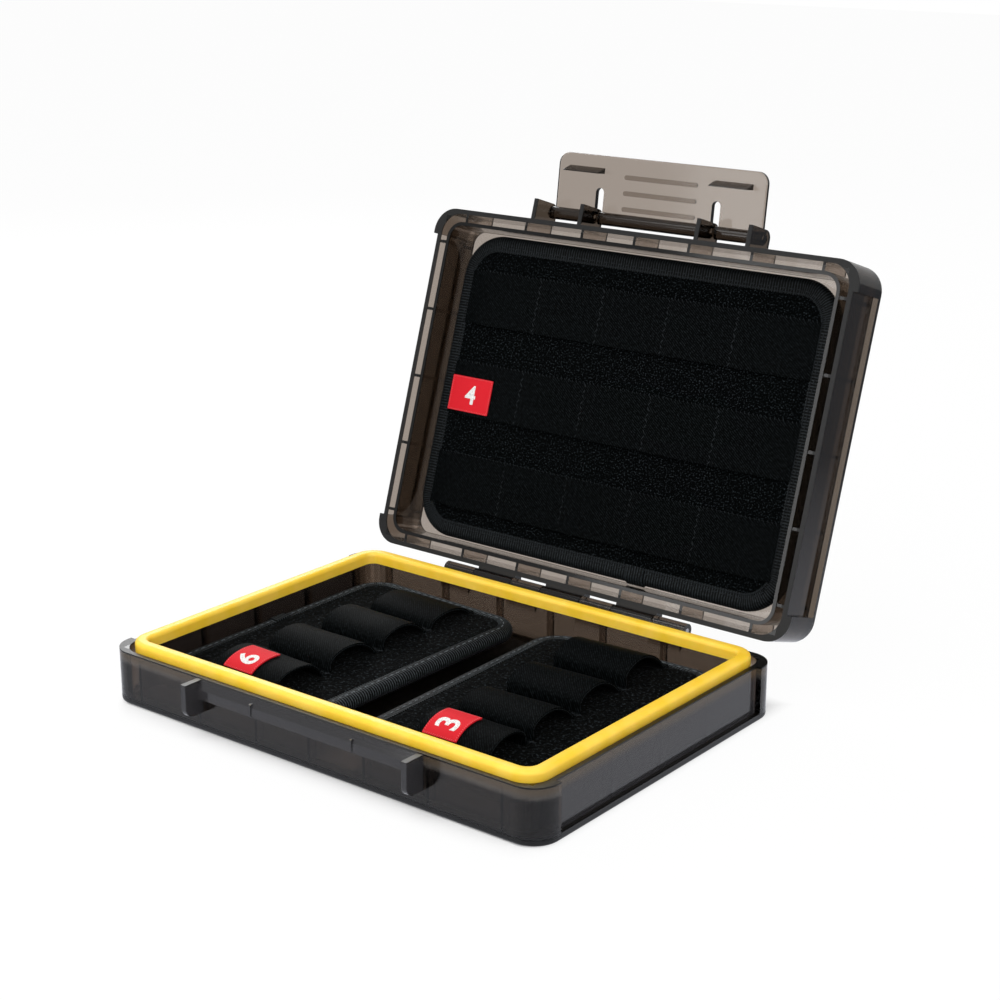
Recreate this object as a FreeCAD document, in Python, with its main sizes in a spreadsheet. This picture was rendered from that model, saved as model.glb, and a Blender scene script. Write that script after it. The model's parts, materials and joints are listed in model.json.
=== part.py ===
import FreeCAD, Part
import math
import os
import re

import Sketcher

# Memory card case: a shallow tray and a hinged lid of smoky plastic, a squeezed seal between them,
# a swinging latch, and three sewn card pads.
# Millimetres. X runs along the front, Y to the back, Z up. The origin is the centre of the flat bottom.
# The lid and the latch are drawn closed and then turned to where they stand when the case is open.

SIZES = [
    # Shells
    ("case_width", 170.0, "outer width over the corner posts"),
    ("case_depth", 121.0, "outer depth, front to back"),
    ("corner_radius", 8.3, "round of the upright outer corners"),
    ("post_length", 9.5, "corner of the case to the end of a sunk side"),
    ("edge_round", 0.8, "round of the outer bottom and top edges"),
    ("base_height", 17.4, "bottom of the base to its rim"),
    ("lid_height", 16.4, "rim of the lid to its top"),
    ("rim_gap", 0.1, "clearance between the closed rims"),
    ("plate", 1.8, "floor of the base and roof of the lid"),
    ("outer_wall", 1.6, "outer wall of each shell"),
    ("inner_wall", 1.2, "inner wall of each shell"),
    ("wall_space", 2.8, "space between the two walls"),
    ("wall_corner", 6.0, "outer corner radius of the inner wall"),
    ("side_recess", 1.8, "depth of the sunk sides between the corner posts"),
    ("side_ledge", 2.2, "height of the ledge left under a sunk side"),
    ("rib_thickness", 1.0, "ribs that bridge the two walls"),
    ("rib_drop", 0.3, "rim of the lid to the edge of its ribs"),
    ("rib_inset", 13.5, "end of the case to the last rib in front and back"),
    ("rib_crowding_share", 0.15, "how much closer the ribs stand at the middle"),
    ("side_rib_inset", 12.0, "end of the case to the last rib at the sides"),
    ("joint_overlap", 0.5, "how far an added piece reaches into a wall"),
    # Seal
    ("gasket_width", 4.4, "width of the seal"),
    ("gasket_proud", 2.6, "rim of the base to the top of the seal"),
    ("gasket_leg", 0.7, "how far the seal reaches down the inner wall"),
    ("gasket_round", 1.2, "round of the top of the seal"),
    ("seat_drop", 0.6, "rim of the base down to the inner wall's edge"),
    ("seal_gap", 0.2, "lower edge of the seal down to the ribs"),
    ("seat_fit", 0.05, "clearance of the seal on the inner wall"),
    # Hinge
    ("hinge_out", 3.1, "back wall to the hinge axis"),
    ("hinge_drop", 0.3, "rim of the base down to the hinge axis"),
    ("knuckle_radius", 2.4, "outer radius of a knuckle"),
    ("hinge_pitch", 14.5, "from one knuckle to the next"),
    ("knuckle_gap", 0.3, "clearance between two knuckles"),
    ("base_knuckle", 12.4, "length of a knuckle of the base"),
    ("web_height", 7.0, "foot of a base knuckle's web on the wall"),
    ("arm_height", 3.6, "height of a lid knuckle's arm"),
    ("arm_depth", 1.0, "hinge axis to the back of a lid knuckle's arm"),
    ("pin_radius", 0.9, "hinge pin"),
    ("bearing_gap", 0.05, "radial clearance of a pin in its bore"),
    ("lid_open_angle", 108.0, "opening of the lid at its stop, in degrees"),
    ("heel_depth", 3.4, "hinge axis to the far end of a stop heel"),
    ("heel_width", 2.4, "thickness of a stop heel"),
    ("heel_gap", 0.15, "clearance of a stop heel at the back wall"),
    # Latch
    ("latch_width", 83.5, "width of the latch plate"),
    ("latch_length", 21.1, "latch axis to the free end"),
    ("latch_thickness", 1.8, "thickness of the latch plate"),
    ("latch_offset", 1.0, "latch axis to the inner face of the plate"),
    ("latch_corner", 4.0, "round of the free corners"),
    ("latch_edge_round", 0.6, "round of the free edge"),
    ("latch_out", 4.0, "front wall to the latch axis"),
    ("latch_rise", 9.2, "rim of the lid to the latch axis"),
    ("latch_open_angle", 79.7, "opening of the latch in the photograph, in degrees"),
    ("barrel_radius", 2.2, "moulded barrel of the latch"),
    ("journal_radius", 1.4, "thin stretches of the barrel in the lugs"),
    ("lug_thickness", 1.5, "lugs on the lid"),
    ("lug_radius", 3.0, "round of a lug about the latch axis"),
    ("lug_gap", 0.5, "clearance of the plate's end at an outer lug"),
    ("inner_lug", 23.4, "middle of the latch to an inner lug"),
    ("barrel_play", 0.15, "clearance of the barrel's end at an outer lug"),
    ("slot_gap", 0.9, "clearance of a slot beside its lug"),
    ("slot_clear", 0.5, "clearance of a slot's end past its lug"),
    ("hook_offset", 29.4, "middle of the latch to the middle of a hook"),
    ("hook_width", 14.6, "width of a hook"),
    ("hook_drop", 15.0, "latch axis to the holding face of a hook"),
    ("hook_foot", 2.1, "thickness of a hook at the plate"),
    ("hook_tip", 0.3, "thickness of a hook at its tip"),
    ("hook_bite", 1.8, "how far a hook reaches under the ledge"),
    ("hook_gap", 0.1, "clearance of a hook under the ledge"),
    ("grip_length", 29.3, "length of a grip rib"),
    ("grip_width", 1.6, "width of a grip rib"),
    ("grip_height", 0.5, "height of a grip rib"),
    ("grip_pitch", 5.35, "from one grip rib to the next"),
    ("grip_first", 3.8, "latch axis to the first grip rib"),
    # Catch on the front of the base
    ("ledge_out", 2.7, "front wall to the face of the catch ledge"),
    ("ledge_face", 3.1, "height of the upright face of the ledge"),
    ("tick_offset", 20.0, "middle of the ledge to a small upright on its face"),
    ("tick_width", 0.8, "width of such an upright"),
    ("tick_out", 0.3, "height of such an upright"),
    ("tick_drop", 1.6, "rim of the base down to the top of such an upright"),
    ("guard_gap", 0.85, "clearance of a guard beside the latch plate"),
    ("guard_thickness", 2.0, "thickness of a guard"),
    ("guard_cover", 0.4, "how far a guard stands past the latch plate"),
    ("guard_drop", 0.2, "rim of the base down to the top of a guard"),
    ("guard_height", 10.7, "height of a guard"),
    ("guard_round", 3.0, "round of a guard's lower front corner"),
    # Sewn pads
    ("board", 2.2, "stiff sheet inside a pad"),
    ("cloth", 0.8, "plush cloth on each face of a pad"),
    ("tape", 0.6, "binding tape"),
    ("tape_lip", 4.6, "how far the tape lies on each face"),
    ("tape_slack", 0.1, "room between the tape and the sheets in it"),
    ("tape_round", 0.5, "round of the tape's outer edges"),
    ("pad_clearance", 0.1, "clearance of a pad's lowest point over its plate"),
    ("strip", 0.9, "thickness of elastic"),
    ("seam", 1.6, "width of a seam between two loops"),
    ("tag", 0.4, "thickness of an index tag"),
    ("tag_fit", 0.05, "clearance under an index tag"),
    ("left_pad_gap", 1.8, "left pad to the side wall"),
    ("right_pad_gap", 4.9, "right pad to the side wall"),
    ("middle_gap", 12.1, "gap between the two base pads"),
    ("base_pad_corner", 11.0, "corner radius of a base pad"),
    ("pad_end_gap", 2.0, "base pads to the front and back walls"),
    ("loop_width", 27.0, "width of the looped strip on a base pad"),
    ("loop_shift", 1.5, "middle of a base pad to the middle of its looped strip"),
    ("loop_rise", 6.0, "inner height of a top loop"),
    ("under_rise", 3.3, "inner height of an under loop"),
    ("loop_margin", 0.5, "looped strip to the binding"),
    ("loop_tag_width", 14.0, "width of the tag on a loop"),
    ("loop_tag_back", 2.5, "crown of the loop to the tag's back end"),
    ("loop_tag_margin", 1.25, "tag's front end to the foot of the loop"),
    ("lid_pad_side_gap", 1.9, "lid pad to the side walls"),
    ("lid_pad_corner", 15.0, "corner radius of the lid pad"),
    ("lid_pad_end_gap", 0.8, "lid pad to the front and back walls"),
    ("band_height", 19.0, "height of a band of pockets"),
    ("band_end_gap", 7.5, "binding to the first and last bands, before the shift"),
    ("band_shift", 1.1, "middle of the pad to the middle band"),
    ("band_rise", 0.4, "slack of a pocket"),
    ("band_margin", 4.4, "band to the binding at its ends"),
    ("band_tag_inset", 1.5, "binding to the tag on a band"),
    ("band_tag_width", 17.9, "width of the tag on a band"),
    ("band_tag_height", 12.4, "height of the tag on a band"),
    ("band_tag_drop", 2.1, "middle of the band to the middle of its tag"),
]

FRONT_RIBS = 3
SIDE_RIBS = 2
GRIP_RIBS = 3
LOOPS = 4
BANDS = 3
POCKETS = 5

# For telling edges apart, in millimetres
SAME_PLACE = 0.0001
SHORTEST_EDGE = 0.001

# Places worked out from the sizes
CHANNEL_WIDTH = "(case_width - 2 * side_recess - 2 * outer_wall)"
CHANNEL_DEPTH = "(case_depth - 2 * outer_wall)"
CHANNEL_CORNER = "(wall_corner + wall_space / 2)"
WALL_WIDTH = "(case_width - 2 * side_recess - 2 * outer_wall - 2 * wall_space)"
WALL_DEPTH = "(case_depth - 2 * outer_wall - 2 * wall_space)"
ROOM_WIDTH = "(case_width - 2 * side_recess - 2 * outer_wall - 2 * wall_space - 2 * inner_wall)"
ROOM_DEPTH = "(case_depth - 2 * outer_wall - 2 * wall_space - 2 * inner_wall)"
ROOM_CORNER = "(wall_corner - inner_wall)"
LID_RIM = "(base_height + rim_gap)"
LID_TOP = "(base_height + rim_gap + lid_height)"
SEAT = "(base_height - seat_drop)"
HINGE_Y = "(case_depth / 2 + hinge_out)"
HINGE_Z = "(base_height - hinge_drop)"
LID_KNUCKLE = "(2 * hinge_pitch - base_knuckle - 2 * knuckle_gap)"
LATCH_Y = "(-case_depth / 2 - latch_out)"
LATCH_Z = "(base_height + rim_gap + latch_rise)"
LATCH_FACE = "(-case_depth / 2 - latch_out - latch_offset)"
OUTER_LUG = "(latch_width / 2 + lug_gap + lug_thickness / 2)"
SLOT_END = "(sqrt(latch_rise * latch_rise + lug_radius * lug_radius) + slot_clear)"
SLOT_WIDTH = "(lug_thickness + 2 * slot_gap)"
HOOK_REACH = "(latch_out + latch_offset - ledge_out + hook_bite)"
LEDGE_BOTTOM = "(base_height + rim_gap + latch_rise - hook_drop + hook_gap)"
GUARD_INSIDE = "(latch_width / 2 + guard_gap)"
GUARD_OUT = "(latch_out + latch_offset + latch_thickness + guard_cover)"
GUARD_TOP = "(base_height - guard_drop)"
STACK = "(board + 2 * cloth)"
BASE_PAD_WIDTH = "((%s - left_pad_gap - right_pad_gap - middle_gap) / 2)" % ROOM_WIDTH
BASE_PAD_DEPTH = "(%s - 2 * pad_end_gap)" % ROOM_DEPTH
BASE_PAD_FLOOR = "(plate + pad_clearance + under_rise + strip)"
LOOP_PITCH = "((%s - 2 * tape_lip - 2 * loop_margin) / %d)" % (BASE_PAD_DEPTH, LOOPS)
LID_PAD_WIDTH = "(%s - 2 * lid_pad_side_gap)" % ROOM_WIDTH
LID_PAD_DEPTH = "(%s - 2 * lid_pad_end_gap)" % ROOM_DEPTH
LID_PAD_FLOOR = "(%s - plate - pad_clearance - band_rise - strip - %s)" % (LID_TOP, STACK)
POCKET_PITCH = "((%s - 2 * tape_lip - 2 * band_margin) / %d)" % (LID_PAD_WIDTH, POCKETS)
BAND_SPAN = "(%s - 2 * tape_lip - 2 * band_end_gap - band_height)" % LID_PAD_DEPTH
BAND_PITCH = "(%s / %d)" % (BAND_SPAN, BANDS - 1)

doc = FreeCAD.newDocument("memory_card_case")
sheet = doc.addObject("Spreadsheet::Sheet", "sizes")
for row, (alias, number, meaning) in enumerate(SIZES, start=1):
    sheet.set("A%d" % row, alias)
    sheet.set("B%d" % row, str(number))
    sheet.set("C%d" % row, meaning)
    sheet.setAlias("B%d" % row, alias)
doc.recompute()

ALIASES = {alias for alias, number, meaning in SIZES}
nodes = []


def value(expression):
    """Number that an expression of sizes stands for."""
    return float(sheet.evalExpression(expression))


def bind(feature, name, expression):
    """Ties a property of a feature to an expression of sizes."""

    def qualified(word):
        return "sizes." + word.group() if word.group() in ALIASES else word.group()

    feature.setExpression(name, re.sub(r"[A-Za-z_]+", qualified, expression))


def node(feature, label, placement=None):
    """Names a finished sub-part and puts it in its place."""
    feature.Label = label
    if placement is not None:
        feature.Placement = placement
    nodes.append(feature)
    return feature


def new_body(name):
    return doc.addObject("PartDesign::Body", name + "_body")


def level_sketch(body, level):
    """Empty sketch on a level plane of a body."""
    sketch = body.newObject("Sketcher::SketchObject", "outline")
    plane = next(item for item in body.Origin.OriginFeatures if item.Role == "XY_Plane")
    sketch.AttachmentSupport = [(plane, "")]
    sketch.MapMode = "FlatFace"
    bind(sketch, "AttachmentOffset.Base.z", level)
    return sketch


def rounded_rectangle(sketch, width, depth, radius):
    """Rectangle with round corners about the origin, drawn at size and then held by constraints."""
    half_x = value(width) / 2
    half_y = value(depth) / 2
    round_size = value(radius)
    flat_x = half_x - round_size
    flat_y = half_y - round_size
    up = FreeCAD.Vector(0, 0, 1)

    def line(x_from, y_from, x_to, y_to):
        start = FreeCAD.Vector(x_from, y_from, 0)
        end = FreeCAD.Vector(x_to, y_to, 0)
        return sketch.addGeometry(Part.LineSegment(start, end), False)

    def corner(x_centre, y_centre, quarter):
        circle = Part.Circle(FreeCAD.Vector(x_centre, y_centre, 0), up, round_size)
        start = quarter * math.pi / 2
        return sketch.addGeometry(Part.ArcOfCircle(circle, start, start + math.pi / 2), False)

    front = line(-flat_x, -half_y, flat_x, -half_y)
    front_right = corner(flat_x, -flat_y, 3)
    right = line(half_x, -flat_y, half_x, flat_y)
    back_right = corner(flat_x, flat_y, 0)
    back = line(flat_x, half_y, -flat_x, half_y)
    back_left = corner(-flat_x, flat_y, 1)
    left = line(-half_x, flat_y, -half_x, -flat_y)
    front_left = corner(-flat_x, -flat_y, 2)
    chain = [front, front_right, right, back_right, back, back_left, left, front_left]
    for here, following in zip(chain, chain[1:] + chain[:1]):
        sketch.addConstraint(Sketcher.Constraint("Tangent", here, 2, following, 1))
    for level in (front, back):
        sketch.addConstraint(Sketcher.Constraint("Horizontal", level))
    for upright in (right, left):
        sketch.addConstraint(Sketcher.Constraint("Vertical", upright))
    for other in (back_right, back_left, front_left):
        sketch.addConstraint(Sketcher.Constraint("Equal", front_right, other))
    sketch.addConstraint(Sketcher.Constraint("Symmetric", front_left, 3, back_right, 3, -1, 1))
    driven = [
        (Sketcher.Constraint("Radius", front_right, round_size), radius),
        (Sketcher.Constraint("DistanceX", left, 1, right, 1, 2 * half_x), width),
        (Sketcher.Constraint("DistanceY", front, 1, back, 1, 2 * half_y), depth),
    ]
    for constraint, expression in driven:
        index = sketch.addConstraint(constraint)
        bind(sketch, "Constraints[%d]" % index, expression)


def plain_rectangle(sketch, x_ends, y_ends):
    """Rectangle between two places along X and two along Y, drawn at size and then held by constraints."""
    x_low, x_high = value(x_ends[0]), value(x_ends[1])
    y_low, y_high = value(y_ends[0]), value(y_ends[1])
    corners = [(x_low, y_low), (x_high, y_low), (x_high, y_high), (x_low, y_high)]
    points = [FreeCAD.Vector(x, y, 0) for x, y in corners]
    chain = []
    for start, end in zip(points, points[1:] + points[:1]):
        chain.append(sketch.addGeometry(Part.LineSegment(start, end), False))
    for here, following in zip(chain, chain[1:] + chain[:1]):
        sketch.addConstraint(Sketcher.Constraint("Coincident", here, 2, following, 1))
    front, right, back, left = chain
    for level in (front, back):
        sketch.addConstraint(Sketcher.Constraint("Horizontal", level))
    for upright in (right, left):
        sketch.addConstraint(Sketcher.Constraint("Vertical", upright))
    driven = [
        ("DistanceX", front, 1, x_low, x_ends[0]),
        ("DistanceX", front, 2, x_high, x_ends[1]),
        ("DistanceY", right, 1, y_low, y_ends[0]),
        ("DistanceY", right, 2, y_high, y_ends[1]),
    ]
    for kind, line, end, number, expression in driven:
        index = sketch.addConstraint(Sketcher.Constraint(kind, -1, 1, line, end, number))
        bind(sketch, "Constraints[%d]" % index, expression)


def pad(body, sketch, height):
    feature = body.newObject("PartDesign::Pad", "pad")
    feature.Profile = sketch
    bind(feature, "Length", height)
    doc.recompute()
    return feature


def pocket(body, sketch, depth, upward=False):
    """Cuts a sketch's outline down into a body, or up into it, and sees that it cut."""
    doc.recompute()
    before = body.Shape.Volume
    feature = body.newObject("PartDesign::Pocket", "pocket")
    feature.Profile = sketch
    feature.Reversed = upward
    bind(feature, "Length", depth)
    doc.recompute()
    if body.Shape.Volume >= before:
        raise RuntimeError("%s cuts nothing" % feature.Name)
    return feature


def block(body, low, high, cut=False):
    """Box between two corners, each three expressions, added to a body or cut from it."""
    kind = "PartDesign::SubtractiveBox" if cut else "PartDesign::AdditiveBox"
    feature = body.newObject(kind, "block")
    for size_name, axis, start, end in zip(("Length", "Width", "Height"), "xyz", low, high):
        bind(feature, size_name, "(%s) - (%s)" % (end, start))
        bind(feature, "Placement.Base." + axis, start)
    return feature


def rod(body, radius, ends, centre, turned=(0, 1, 0), cut=False):
    """Cylinder between two ends, along X or, turned about X, along Y."""
    kind = "PartDesign::SubtractiveCylinder" if cut else "PartDesign::AdditiveCylinder"
    feature = body.newObject(kind, "rod")
    along_x = turned == (0, 1, 0)
    feature.Placement.Rotation = FreeCAD.Rotation(FreeCAD.Vector(*turned), 90 if along_x else -90)
    bind(feature, "Radius", radius)
    bind(feature, "Height", "(%s) - (%s)" % (ends[1], ends[0]))
    start = (ends[0], centre[0], centre[1]) if along_x else (centre[0], ends[0], centre[1])
    for axis, place in zip("xyz", start):
        bind(feature, "Placement.Base." + axis, place)
    return feature


def wedge(body, x_ends, y_ends, foot, tip):
    """Block along X whose height changes from its foot, at the first Y, to its tip, at the second."""
    feature = body.newObject("PartDesign::AdditiveWedge", "wedge")
    sides = {
        "Xmin": x_ends[0], "Xmax": x_ends[1], "X2min": x_ends[0], "X2max": x_ends[1],
        "Ymin": y_ends[0], "Ymax": y_ends[1],
        "Zmin": foot[0], "Zmax": foot[1], "Z2min": tip[0], "Z2max": tip[1],
    }
    for name, expression in sides.items():
        bind(feature, name, expression)
    return feature


def round_edges(body, radius, wanted):
    """Rounds each edge of a body whose box the test accepts."""
    doc.recompute()
    base = body.Tip
    names = []
    for number, edge in enumerate(base.Shape.Edges, start=1):
        if wanted(edge.BoundBox):
            names.append("Edge%d" % number)
    feature = body.newObject("PartDesign::Fillet", "round")
    feature.Base = (base, names)
    bind(feature, "Radius", radius)
    doc.recompute()
    return feature


def near(number, other):
    return abs(number - other) < SAME_PLACE


def lies_at(box, z):
    return near(box.ZMin, z) and near(box.ZMax, z)


def runs_along_x(box, y, z):
    """Whether an edge's box is a line along X at a place."""
    flat = near(box.YMin, box.YMax) and lies_at(box, z)
    return flat and near(box.YMin, y) and box.XLength > SHORTEST_EDGE


def centred(middle, width):
    """Two ends of a stretch about its middle."""
    return "%s - %s / 2" % (middle, width), "%s + %s / 2" % (middle, width)


def sided(side, place):
    """A place on the left (-1) or right (1) side."""
    return "%d * %s" % (side, place)


# Lid and latch turned from closed to open

def turned_about(y, z, degrees):
    """Turn about a line along X."""
    line = FreeCAD.Vector(0, value(y), value(z))
    return FreeCAD.Placement(FreeCAD.Vector(), FreeCAD.Rotation(FreeCAD.Vector(1, 0, 0), degrees), line)


LID_PLACE = turned_about(HINGE_Y, HINGE_Z, -value("lid_open_angle"))
LATCH_PLACE = LID_PLACE * turned_about(LATCH_Y, LATCH_Z, -value("latch_open_angle"))


# Shells

def shell_walls(body, bottom, height, rim, room_depth, rib_from, rib_to, recess, upward):
    """Double-walled tray with sunk sides and ribs between its walls, open at its rim."""
    outline = level_sketch(body, bottom)
    rounded_rectangle(outline, "case_width", "case_depth", "corner_radius")
    pad(body, outline, height)
    plate_side = value("%s + %s" % (bottom, height) if upward else bottom)
    round_edges(body, "edge_round", lambda box: lies_at(box, plate_side))
    for side in (-1, 1):
        sunk_face = sided(side, "(case_width / 2 - side_recess)")
        beyond = sided(side, "(case_width / 2 + 1)")
        ends = sorted((sunk_face, beyond), key=value)
        low = (ends[0], "-case_depth / 2 + post_length", recess[0])
        high = (ends[1], "case_depth / 2 - post_length", recess[1])
        block(body, low, high, cut=True)
    channel = level_sketch(body, rim)
    rounded_rectangle(channel, CHANNEL_WIDTH, CHANNEL_DEPTH, CHANNEL_CORNER)
    rounded_rectangle(channel, WALL_WIDTH, WALL_DEPTH, "wall_corner")
    pocket(body, channel, room_depth, upward)
    across = centred("0", "(case_depth - outer_wall)")
    along = centred("0", "(case_width - 2 * side_recess - outer_wall)")
    span = "(case_width / 2 - rib_inset)"
    side_span = "(case_depth / 2 - side_rib_inset)"
    front_ribs = level_sketch(body, rib_from)
    for number in range(-FRONT_RIBS, FRONT_RIBS + 1):
        share = number / FRONT_RIBS
        place = "%s * %.6f * (1 - rib_crowding_share * %.6f)" % (span, share, 1 - abs(share))
        plain_rectangle(front_ribs, centred(place, "rib_thickness"), across)
    pad(body, front_ribs, "(%s) - (%s)" % (rib_to, rib_from))
    side_ribs = level_sketch(body, rib_from)
    for number in range(-SIDE_RIBS, SIDE_RIBS + 1):
        place = "%s * %.6f" % (side_span, number / SIDE_RIBS)
        plain_rectangle(side_ribs, along, centred(place, "rib_thickness"))
    pad(body, side_ribs, "(%s) - (%s)" % (rib_to, rib_from))
    room = level_sketch(body, rim)
    rounded_rectangle(room, ROOM_WIDTH, ROOM_DEPTH, ROOM_CORNER)
    pocket(body, room, room_depth, upward)


def base_shell():
    body = new_body("base_shell")
    room_depth = "base_height - plate"
    recess = ("side_ledge", "base_height + 1")
    rib_top = SEAT + " - gasket_leg - seal_gap"
    shell_walls(body, "0", "base_height", "base_height", room_depth, "plate / 2", rib_top, recess, False)
    seat = level_sketch(body, "base_height")
    rounded_rectangle(seat, CHANNEL_WIDTH, CHANNEL_DEPTH, CHANNEL_CORNER)
    pocket(body, seat, "seat_drop")
    # Catch ledge with its small uprights and the guards at its ends
    wall = "-case_depth / 2 + joint_overlap"
    ledge_face = "-case_depth / 2 - ledge_out"
    ledge_ends = (ledge_face, "-case_depth / 2")
    foot = (LEDGE_BOTTOM, LEDGE_BOTTOM + " + ledge_face")
    wedge(body, ("-" + GUARD_INSIDE, GUARD_INSIDE), ledge_ends, foot, (LEDGE_BOTTOM, "base_height"))
    for side in (-1, 1):
        ends = centred(sided(side, "tick_offset"), "tick_width")
        low = (ends[0], ledge_face + " - tick_out", LEDGE_BOTTOM)
        block(body, low, (ends[1], wall, "base_height - tick_drop"))
    guard_front = "-case_depth / 2 - " + GUARD_OUT
    guard_bottom = GUARD_TOP + " - guard_height"
    for side in (-1, 1):
        middle = sided(side, "(%s + guard_thickness / 2)" % GUARD_INSIDE)
        ends = centred(middle, "guard_thickness")
        block(body, (ends[0], guard_front, guard_bottom), (ends[1], wall, GUARD_TOP))
    front, bottom = value(guard_front), value(guard_bottom)
    round_edges(body, "guard_round", lambda box: runs_along_x(box, front, bottom))
    # Hinge knuckles on webs
    for number in (-3, -1, 1, 3):
        ends = centred("%d * hinge_pitch" % number, "base_knuckle")
        foot = (HINGE_Z + " - web_height", HINGE_Z)
        tip = (HINGE_Z + " - knuckle_radius", HINGE_Z)
        wedge(body, ends, ("case_depth / 2 - joint_overlap", HINGE_Y), foot, tip)
        rod(body, "knuckle_radius", ends, (HINGE_Y, HINGE_Z))
    bore_ends = ("-4 * hinge_pitch", "4 * hinge_pitch")
    rod(body, "pin_radius + bearing_gap", bore_ends, (HINGE_Y, HINGE_Z), cut=True)
    return node(body, "base_shell")


def gasket():
    body = new_body("gasket")
    wider = "(gasket_width - inner_wall)"
    bottom = SEAT + " - gasket_leg"
    ring = level_sketch(body, bottom)
    outer_corner = "wall_corner + %s / 2" % wider
    inner_corner = ROOM_CORNER + " - %s / 2" % wider
    rounded_rectangle(ring, WALL_WIDTH + " + " + wider, WALL_DEPTH + " + " + wider, outer_corner)
    rounded_rectangle(ring, ROOM_WIDTH + " - " + wider, ROOM_DEPTH + " - " + wider, inner_corner)
    pad(body, ring, "seat_drop + gasket_leg + gasket_proud")
    top = value("base_height + gasket_proud")
    round_edges(body, "gasket_round", lambda box: lies_at(box, top))
    slot = level_sketch(body, bottom)
    fit = "2 * seat_fit"
    rounded_rectangle(slot, WALL_WIDTH + " + " + fit, WALL_DEPTH + " + " + fit, "wall_corner + seat_fit")
    rounded_rectangle(slot, ROOM_WIDTH + " - " + fit, ROOM_DEPTH + " - " + fit, ROOM_CORNER + " - seat_fit")
    pocket(body, slot, "gasket_leg", upward=True)
    return node(body, "gasket")


def hinge_pin():
    body = new_body("hinge_pin")
    end = "(3 * hinge_pitch + base_knuckle / 2)"
    rod(body, "pin_radius", ("-" + end, end), (HINGE_Y, HINGE_Z))
    return node(body, "hinge_pin")


def stop_heel(body, ends):
    """Heel on a lid knuckle that meets the back wall when the lid is open."""
    feature = body.newObject("PartDesign::AdditiveBox", "heel")
    bind(feature, "Length", "(%s) - (%s)" % (ends[1], ends[0]))
    bind(feature, "Width", "heel_width")
    bind(feature, "Height", "heel_depth")
    wall = value("case_depth / 2 + heel_gap")
    start = FreeCAD.Vector(value(ends[0]), wall, value(HINGE_Z + " - heel_depth"))
    feature.Placement = LID_PLACE.inverse() * FreeCAD.Placement(start, FreeCAD.Rotation())


def lid_shell():
    body = new_body("lid_shell")
    rib_from = LID_RIM + " + rib_drop"
    rib_to = LID_TOP + " - plate / 2"
    recess = (LID_RIM + " - 1", LID_TOP + " - side_ledge")
    shell_walls(body, LID_RIM, "lid_height", LID_RIM, "lid_height - plate", rib_from, rib_to, recess, True)
    # Lugs that hold the latch
    wall = "-case_depth / 2 + joint_overlap"
    lug_front = "-case_depth / 2 - latch_out - lug_radius"
    lug_top = LATCH_Z + " + lug_radius"
    for side in (-1, 1):
        for offset in ("inner_lug", OUTER_LUG):
            ends = centred(sided(side, offset), "lug_thickness")
            block(body, (ends[0], lug_front, LID_RIM), (ends[1], wall, lug_top))
    front, top = value(lug_front), value(lug_top)
    round_edges(body, "lug_radius", lambda box: runs_along_x(box, front, top))
    bore_end = "(%s + lug_thickness)" % OUTER_LUG
    rod(body, "journal_radius + bearing_gap", ("-" + bore_end, bore_end), (LATCH_Y, LATCH_Z), cut=True)
    # Hinge knuckles on arms, each with a stop heel
    for number in (-2, 0, 2):
        ends = centred("%d * hinge_pitch" % number, LID_KNUCKLE)
        low = (ends[0], "case_depth / 2 - joint_overlap", LID_RIM)
        high = (ends[1], HINGE_Y + " + arm_depth", LID_RIM + " + arm_height")
        block(body, low, high)
        rod(body, "knuckle_radius", ends, (HINGE_Y, HINGE_Z))
        stop_heel(body, ends)
    bore_ends = ("-4 * hinge_pitch", "4 * hinge_pitch")
    rod(body, "pin_radius + bearing_gap", bore_ends, (HINGE_Y, HINGE_Z), cut=True)
    return node(body, "lid_shell", LID_PLACE)


# Latch

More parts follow.
